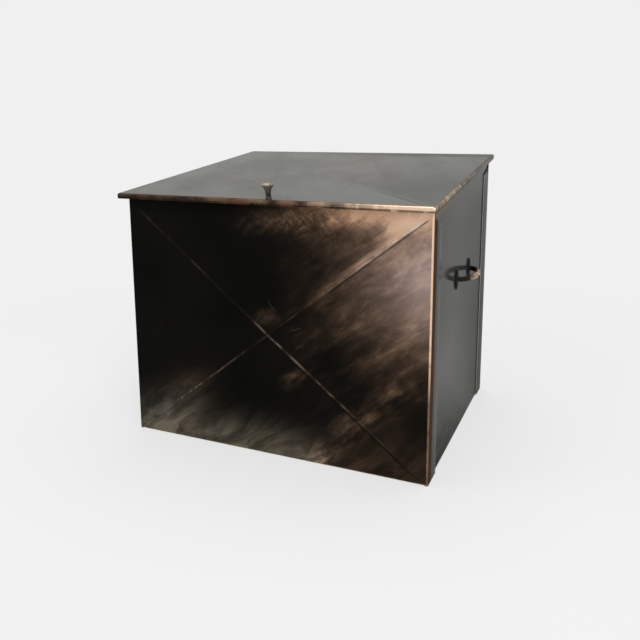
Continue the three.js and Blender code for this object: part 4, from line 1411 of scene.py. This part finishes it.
@finish
def lid_patina(shader, colours):
    """Glossy greyed black paint with faint warm clouds, rubbed to copper round the rim; its right
    facet and back right carry painted shade, and one crease a painted shadow line.
    """
    x, y, z = shader.lid_parts()
    bristle = shader.noise(shader.vector(x * 300, y * 60, 0), 1, 2, 0.5)
    wiped = shader.noise(shader.vector(x * 13 + y * 6.5, y * 2.4 - x * 1.2, 0), 1, 4, 0.62, 0.3)
    cloud = shader.noise(shader.vector(x, y * 1.4, 0), 6, 4, 0.55)
    worn = shader.noise(shader.place(), 38, 4, 0.62)
    half_x, half_y, middle_y = LID_FIELD
    p, q = x / (half_x * MM), (y - middle_y * MM) / (half_y * MM)
    # Painted shade: the right facet of the cross-break, and the back of the lid towards the right
    facet_shade = (p + q).smooth(-0.015, 0.09) * (p - q).smooth(0.0, 1.3)
    back = y.smooth(-0.042, -0.014) * p.smooth(-0.6, 0.6)
    upper = (z - (1 - abs(p).most(abs(q))).most(0) * 0.002).smooth(0.0042, 0.0049)
    warm = p.near(0.10, 0.36) * q.near(0.52, 0.55) * 0.9
    warm = warm + p.near(0.42, 0.42) * q.near(0.02, 0.5) * 0.5
    warm = warm + p.near(-0.40, 0.22) * q.near(-0.50, 0.26) * 0.9
    warm = warm + wiped.smooth(0.60, 0.72) * 0.25
    base = shader.blend(wiped.smooth(0.30, 0.70), (0.030, 0.030, 0.024), colours.lid_paint)
    base = shader.blend(q.smooth(-0.4, 1.0) * 0.55, base, (0.010, 0.010, 0.006))
    # Painted shade darkens the right facet and the back right
    base = shader.blend((facet_shade * 0.8).most(back * 0.9), base, (0.004, 0.005, 0.003))
    base = shader.blend(warm * cloud.smooth(0.3, 0.6) * 0.8, base, (0.085, 0.056, 0.034))
    drift = shader.noise(shader.vector(x * 7 + y * 3.4, y * 3.2 - x * 1.4, 3), 1, 5, 0.62, 0.6)
    # Painted shadow: a thin dull line along the front right crease
    crease = abs((p + q) * 0.155 - 0.0006).smooth(0.0034, 0.0004)
    crease = crease * p.smooth(0.40, 0.80) * p.smooth(1.0, 0.95)
    # Dull film from the wiped drifts and warm clouds, carrying the painted shade of the right facet
    # and back and the painted crease shadow
    film = drift.smooth(0.40, 0.66) * 0.46 + wiped.smooth(0.50, 0.72) * 0.24
    film = film + facet_shade * 0.26 + back * 0.7 + warm * 0.3
    film = film.most(crease).least(1) * upper
    base = shader.blend(upper, (0.016, 0.016, 0.015), base)

    outer = abs(x).smooth(0.2526, 0.2534).most(y.smooth(-0.4216, -0.4226))
    face = z.smooth(0.0046, 0.0036) * outer
    share = p.smooth(-0.8, 0.1) * 0.19 + p.smooth(0.15, 0.95) * 0.80 + 0.10
    flank = abs(x).smooth(0.2550, 0.2562)
    share = share * (1 - flank * (y.smooth(-0.40, -0.05) * 0.34 + 0.60))
    patches = p.smooth(0.3, 1.0) * y.smooth(-0.4235, -0.4245) * 0.75
    patches = patches.most(worn.smooth(0.36, 0.60))
    lower = z.smooth(0.0012, -0.0006)
    rim = face * share * (patches * 1.1 + 0.15) * (1 - lower * 0.82)
    calm = 1 - abs(x).smooth(0.2515, 0.2540) * (y.smooth(-0.40, -0.10) * 0.35 + 0.55)
    rim = rim.most(z.near(0.0045, 0.0012) * outer * (share + 0.12) * (patches + 0.3) * calm)
    top = abs(x).smooth(0.2520, 0.2548).most(y.smooth(-0.4222, -0.4250))
    rim = rim.most(top * worn.smooth(0.50, 0.62) * share * 0.6 * calm).least(1)
    tint = shader.blend(cloud.smooth(0.45, 0.60), colours.bronze, (0.34, 0.13, 0.08))
    rubbed = shader.blend(flank, colours.gold, (0.66, 0.50, 0.27))
    tint = shader.blend(p.smooth(0.0, 0.75), tint, rubbed)
    height = cloud * 0.6 + bristle * 0.15 + rim * 0.5
    normal = shader.bump(height, 0.00008, 0.4)
    gloss = shader.coat(
        Base_Color=base, IOR=1.45, Roughness=0.26 + cloud * 0.08 + wiped * 0.08, Normal=normal,
    )
    filmed_and_shaded = shader.coat(
        Base_Color=(0.040, 0.037, 0.026), IOR=1.25, Roughness=0.42, Normal=normal,
    )
    edge = shader.coat(
        Base_Color=shader.blend(rim, (0.005, 0.004, 0.003), tint), Metallic=rim, IOR=1.15,
        Roughness=0.34 + cloud * 0.10, Normal=normal,
    )
    bare = face.most(rim.smooth(0, 0.05)) * (1 - flank * y.smooth(-0.24, -0.04) * 0.8)
    return shader.mixed(bare, shader.mixed(film, gloss, filmed_and_shaded), edge)


@finish
def wall_paint(shader, colours):
    """Smooth black paint that mirrors its surroundings at a slant, a little rubbed at the edges; a
    paler band is a painted reflection, and the foot and back lap carry painted shade and a painted
    highlight.
    """
    place = shader.place()
    x, y, z = shader.parts(place)
    cloud = shader.noise(place, 5, 4, 0.55)
    peel = shader.noise(place, 420, 2, 0.5)
    brushed = shader.noise(shader.vector(x * 4, y * 6, z * 60), 3, 3, 0.6)
    outer = abs(x).smooth(0.2486, 0.2490)
    brink = outer * y.near(BACK_FACE - LAP * MM, 0.0012)
    # Painted shade on the back lap towards the back corner
    groove_shade = outer * y.near(0.190, 0.012)
    level = z + (y + 0.2) * 0.23
    # Painted shade along the foot of the walls, standing for the floor's shadow mirrored in them
    foot = level.smooth(0.16, 0.02)
    # Painted reflection: a paler band across the walls, mixed into the greyed clouds of the paint
    band = level.near(0.185, 0.07)
    greyed = cloud.smooth(0.3, 0.7) * 0.5 + band * 0.5
    base = shader.blend(greyed, colours.wall_paint, (0.066, 0.065, 0.061))
    # Painted highlight: the free edge of the back lap is painted pale, lifting the shade of its
    # step
    base = shader.blend(brink, base, (0.34, 0.34, 0.33))
    warm = z.smooth(0.34, 0.44) * y.smooth(0.1, -0.1) * 0.5
    base = shader.blend(warm, base, (0.085, 0.068, 0.045))
    climb = z - y * SLOPE
    crest = climb.smooth(0.396, 0.421) * abs(x).smooth(0.2470, 0.2478)
    crest = crest * (y.smooth(0.0, -0.19) * 0.5 + 0.3)
    base = shader.blend(crest, base, (0.20, 0.135, 0.075))
    corner = abs(x).smooth(0.2474, 0.2492) * abs(y - BODY_MIDDLE).smooth(0.1945, 0.1965)
    edge = z.smooth(0.0032, 0.0010).most(corner).most(z.smooth(0.4445, 0.4465))
    worn = edge * shader.noise(place, 60, 3, 0.6).smooth(0.35, 0.65) * 0.4
    normal = shader.bump(peel * 0.3 + brushed * 0.1, 0.00004, 0.12)
    clean = shader.coat(
        Base_Color=shader.blend(worn, base, colours.bronze), Metallic=worn,
        Roughness=0.08 + cloud * 0.08 + brushed * 0.03, IOR=1.08, Normal=normal,
    )
    matte_and_shade = shader.coat(
        Base_Color=(0.022, 0.021, 0.019), Roughness=0.55, IOR=1.03, Normal=normal,
    )
    # Darker, duller paint: painted shade along the foot and near the back corner, and duller
    # towards the back and lower down
    rear = y.smooth(-0.12, 0.19) * (z.smooth(0.32, 0.12) * 0.20 + 0.38) * climb.smooth(0.415, 0.34)
    dull = foot * (brushed.smooth(0.25, 0.7) * 0.3 + 0.60)
    dull = dull.most(groove_shade * 0.45).most(rear) * (1 - brink)
    return shader.mixed(dull, clean, matte_and_shade)


@finish
def handle_iron(shader, colours):
    """Forged iron, blackened, with copper rubbed on its crown, where it also paints the highlight
    at the outer end of the bow.
    """
    place = shader.place()
    x, _, z = shader.parts(place)
    lumps = shader.noise(place, 160, 3, 0.55)
    marks = shader.noise(place, 700, 3, 0.6)
    # Copper rubbed on the outer end of the bow, placed also as a painted highlight there
    crown = abs(x).smooth(0.2655, 0.2750) * lumps.smooth(0.30, 0.60)
    tips = abs(z - HANDLE_HEIGHT * MM).smooth(0.010, 0.018) * lumps.smooth(0.48, 0.66)
    rubbed = (crown * 0.8).most(tips * 0.35).most(marks.smooth(0.60, 0.75) * 0.12)
    base = shader.blend(lumps.smooth(0.3, 0.7), (0.005, 0.005, 0.004), (0.012, 0.010, 0.008))
    colour = shader.blend(rubbed, base, shader.blend(marks, colours.copper, colours.gold))
    return shader.coat(
        Base_Color=colour, Metallic=rubbed * 0.9, Roughness=0.42 + marks * 0.12, IOR=1.2,
        Normal=shader.bump(lumps * 0.7 + marks * 0.4, 0.0003, 0.5),
    )


@finish
def knob_copper(shader, colours):
    """Turned knob, blackened at the stem and rubbed to copper on the head."""
    x, y, z = shader.lid_parts()
    marks = shader.noise(shader.vector(x, y, z * 8), 260, 3, 0.55)
    knob_x, knob_y = KNOB_PLACE
    reach = ((x - knob_x * MM) ** 2 + (y - knob_y * MM) ** 2) ** 0.5
    lip = z.smooth(0.0238, 0.0255) * (marks.smooth(0.30, 0.60) * 0.5 + 0.5)
    dish = z.smooth(0.0215, 0.0225) * reach.smooth(0.0078, 0.0066)
    flank = z.smooth(0.011, 0.022) * 0.35 + z.smooth(0.0075, 0.0060) * 0.3
    rubbed = (lip * 0.42).most(dish * 0.5).most(flank * marks.smooth(0.35, 0.65))
    tint = shader.blend(marks.smooth(0.35, 0.65), colours.bronze, (0.62, 0.55, 0.42))
    colour = shader.blend(rubbed, (0.016, 0.012, 0.009), tint)
    return shader.coat(
        Base_Color=colour, Metallic=rubbed * 0.92, Roughness=0.34 + marks * 0.12, IOR=1.35,
        Normal=shader.bump(marks, 0.0001, 0.4),
    )


@finish
def hinge_paint(shader, colours):
    """Black paint on the hinges, worn thin round the knuckles and the rivet heads."""
    place = shader.place()
    lumps = shader.noise(place, 240, 3, 0.55)
    specks = shader.noise(place, 900, 2, 0.5)
    worn = lumps.smooth(0.56, 0.72) * 0.28
    base = shader.blend(lumps.smooth(0.3, 0.7), colours.wall_paint, (0.030, 0.029, 0.027))
    return shader.coat(
        Base_Color=shader.blend(worn, base, colours.bronze), Metallic=worn * 0.8,
        Roughness=0.34 + specks * 0.14, IOR=1.4, Normal=shader.bump(specks, 0.0001, 0.4),
    )


@finish
def zinc_plate(shader, colours):
    """Zinc plated steel with a dull bloom."""
    place = shader.place()
    bloom = shader.noise(place, 180, 3, 0.55)
    grain = shader.noise(place, 1500, 2, 0.5)
    base = shader.blend(bloom.smooth(0.3, 0.7), colours.zinc, (0.44, 0.45, 0.46))
    return shader.coat(
        Base_Color=base, Metallic=0.95, Roughness=0.30 + bloom * 0.18,
        Normal=shader.bump(grain, 0.00005, 0.3),
    )


# Studio

def lamp(name, place, target, size, power):
    """Soft rectangular lamp that faces a target."""
    data = bpy.data.lights.new(name, "AREA")
    data.shape = "RECTANGLE"
    data.size, data.size_y = size
    data.energy = power
    light = bpy.data.objects.new(name, data)
    light.location = place
    light.rotation_euler = (Vector(target) - Vector(place)).to_track_quat("-Z", "Y").to_euler()
    bpy.context.scene.collection.objects.link(light)


class LOGBOX_OT_studio(bpy.types.Operator):
    """Pale floor and backdrop, soft lamps and the camera"""

    bl_idname = "logbox.studio"
    bl_label = "Studio"

    def execute(self, context):
        scene = context.scene
        studio = scene.box_studio
        scene.view_settings.view_transform = "Standard"
        camera = bpy.data.objects.new("Camera", bpy.data.cameras.new("Camera"))
        camera.data.lens = studio.focal_length
        camera.data.sensor_width = 36
        camera.data.shift_x, camera.data.shift_y = CAMERA_SHIFT
        camera.data.clip_start = 0.05
        camera.location = CAMERA_PLACE
        camera.rotation_euler = [math.radians(turn) for turn in CAMERA_TURNS]
        scene.collection.objects.link(camera)
        scene.camera = camera

        world = bpy.data.worlds.new("Room")
        world.use_nodes = True
        scene.world = world
        room = Nodes(world.node_tree)
        even = room.node("Background", values={"Color": (1, 1, 1), "Strength": studio.room_light})
        pale = room.node("Background", values={"Color": studio.backdrop, "Strength": 1})
        room.node("OutputWorld", values={"Surface": room.mixed(room.seen(), even, pale)})

        floor = Drawing()
        floor.face(*[
            (x * FLOOR_REACH, y * FLOOR_REACH, -FLOOR_DROP)
            for x, y in ((-1, -1), (1, -1), (1, 1), (-1, 1))
        ])
        plane = placed("floor", floor, IN_METRES, open_sheet=True)
        plane.data.materials.append(floor_paint())

        for name, setting in LAMPS.items():
            lamp(name, *setting)
        return {"FINISHED"}


@finish
def floor_paint(shader, _):
    """Pale floor that keeps a soft shadow near the box and fades into the backdrop."""
    x, y, _ = shader.parts(shader.place())
    distance = (x * x + y * y) ** 0.5
    near = distance.smooth(1.3, 0.5) * 0.3
    lit = shader.node("BsdfDiffuse", values={"Color": (0.80, 0.80, 0.80)})
    backdrop = tuple(bpy.context.scene.box_studio.backdrop)
    pale = shader.node("Emission", values={"Color": backdrop, "Strength": 1})
    return shader.mixed(shader.seen() * (1 - near), lit, pale)


PIECES = (
    LOGBOX_OT_front_panel, LOGBOX_OT_back_panel, LOGBOX_OT_side_panels, LOGBOX_OT_bottom_panel,
    LOGBOX_OT_lid_panel, LOGBOX_OT_hinges, LOGBOX_OT_rivets, LOGBOX_OT_lid_knob, LOGBOX_OT_handles,
    LOGBOX_OT_studio,
)
GROUPS = {
    "box_sheet_sizes": BoxSheetSizes,
    "box_finishes": BoxFinishes,
    "box_studio": BoxStudio,
}


class LOGBOX_PT_panel(bpy.types.Panel):
    """Pieces, sizes and colours of the log box"""

    bl_label = "Log storage box"
    bl_space_type = "VIEW_3D"
    bl_region_type = "UI"
    bl_category = "Log box"

    def draw(self, context):
        for operator in PIECES:
            self.layout.operator(operator.bl_idname)
        for name, group in GROUPS.items():
            column = self.layout.column()
            for value in group.__annotations__:
                column.prop(getattr(context.scene, name), value)


CLASSES = (*GROUPS.values(), *PIECES, LOGBOX_PT_panel)


def register():
    for each in CLASSES:
        bpy.utils.register_class(each)
    for name, group in GROUPS.items():
        setattr(bpy.types.Scene, name, PointerProperty(type=group))


def unregister():
    for name in GROUPS:
        delattr(bpy.types.Scene, name)
    for each in reversed(CLASSES):
        bpy.utils.unregister_class(each)


def main():
    register()
    for operator in PIECES:
        group, name = operator.bl_idname.split(".")
        getattr(getattr(bpy.ops, group), name)()


if __name__ == "__main__":
    main()
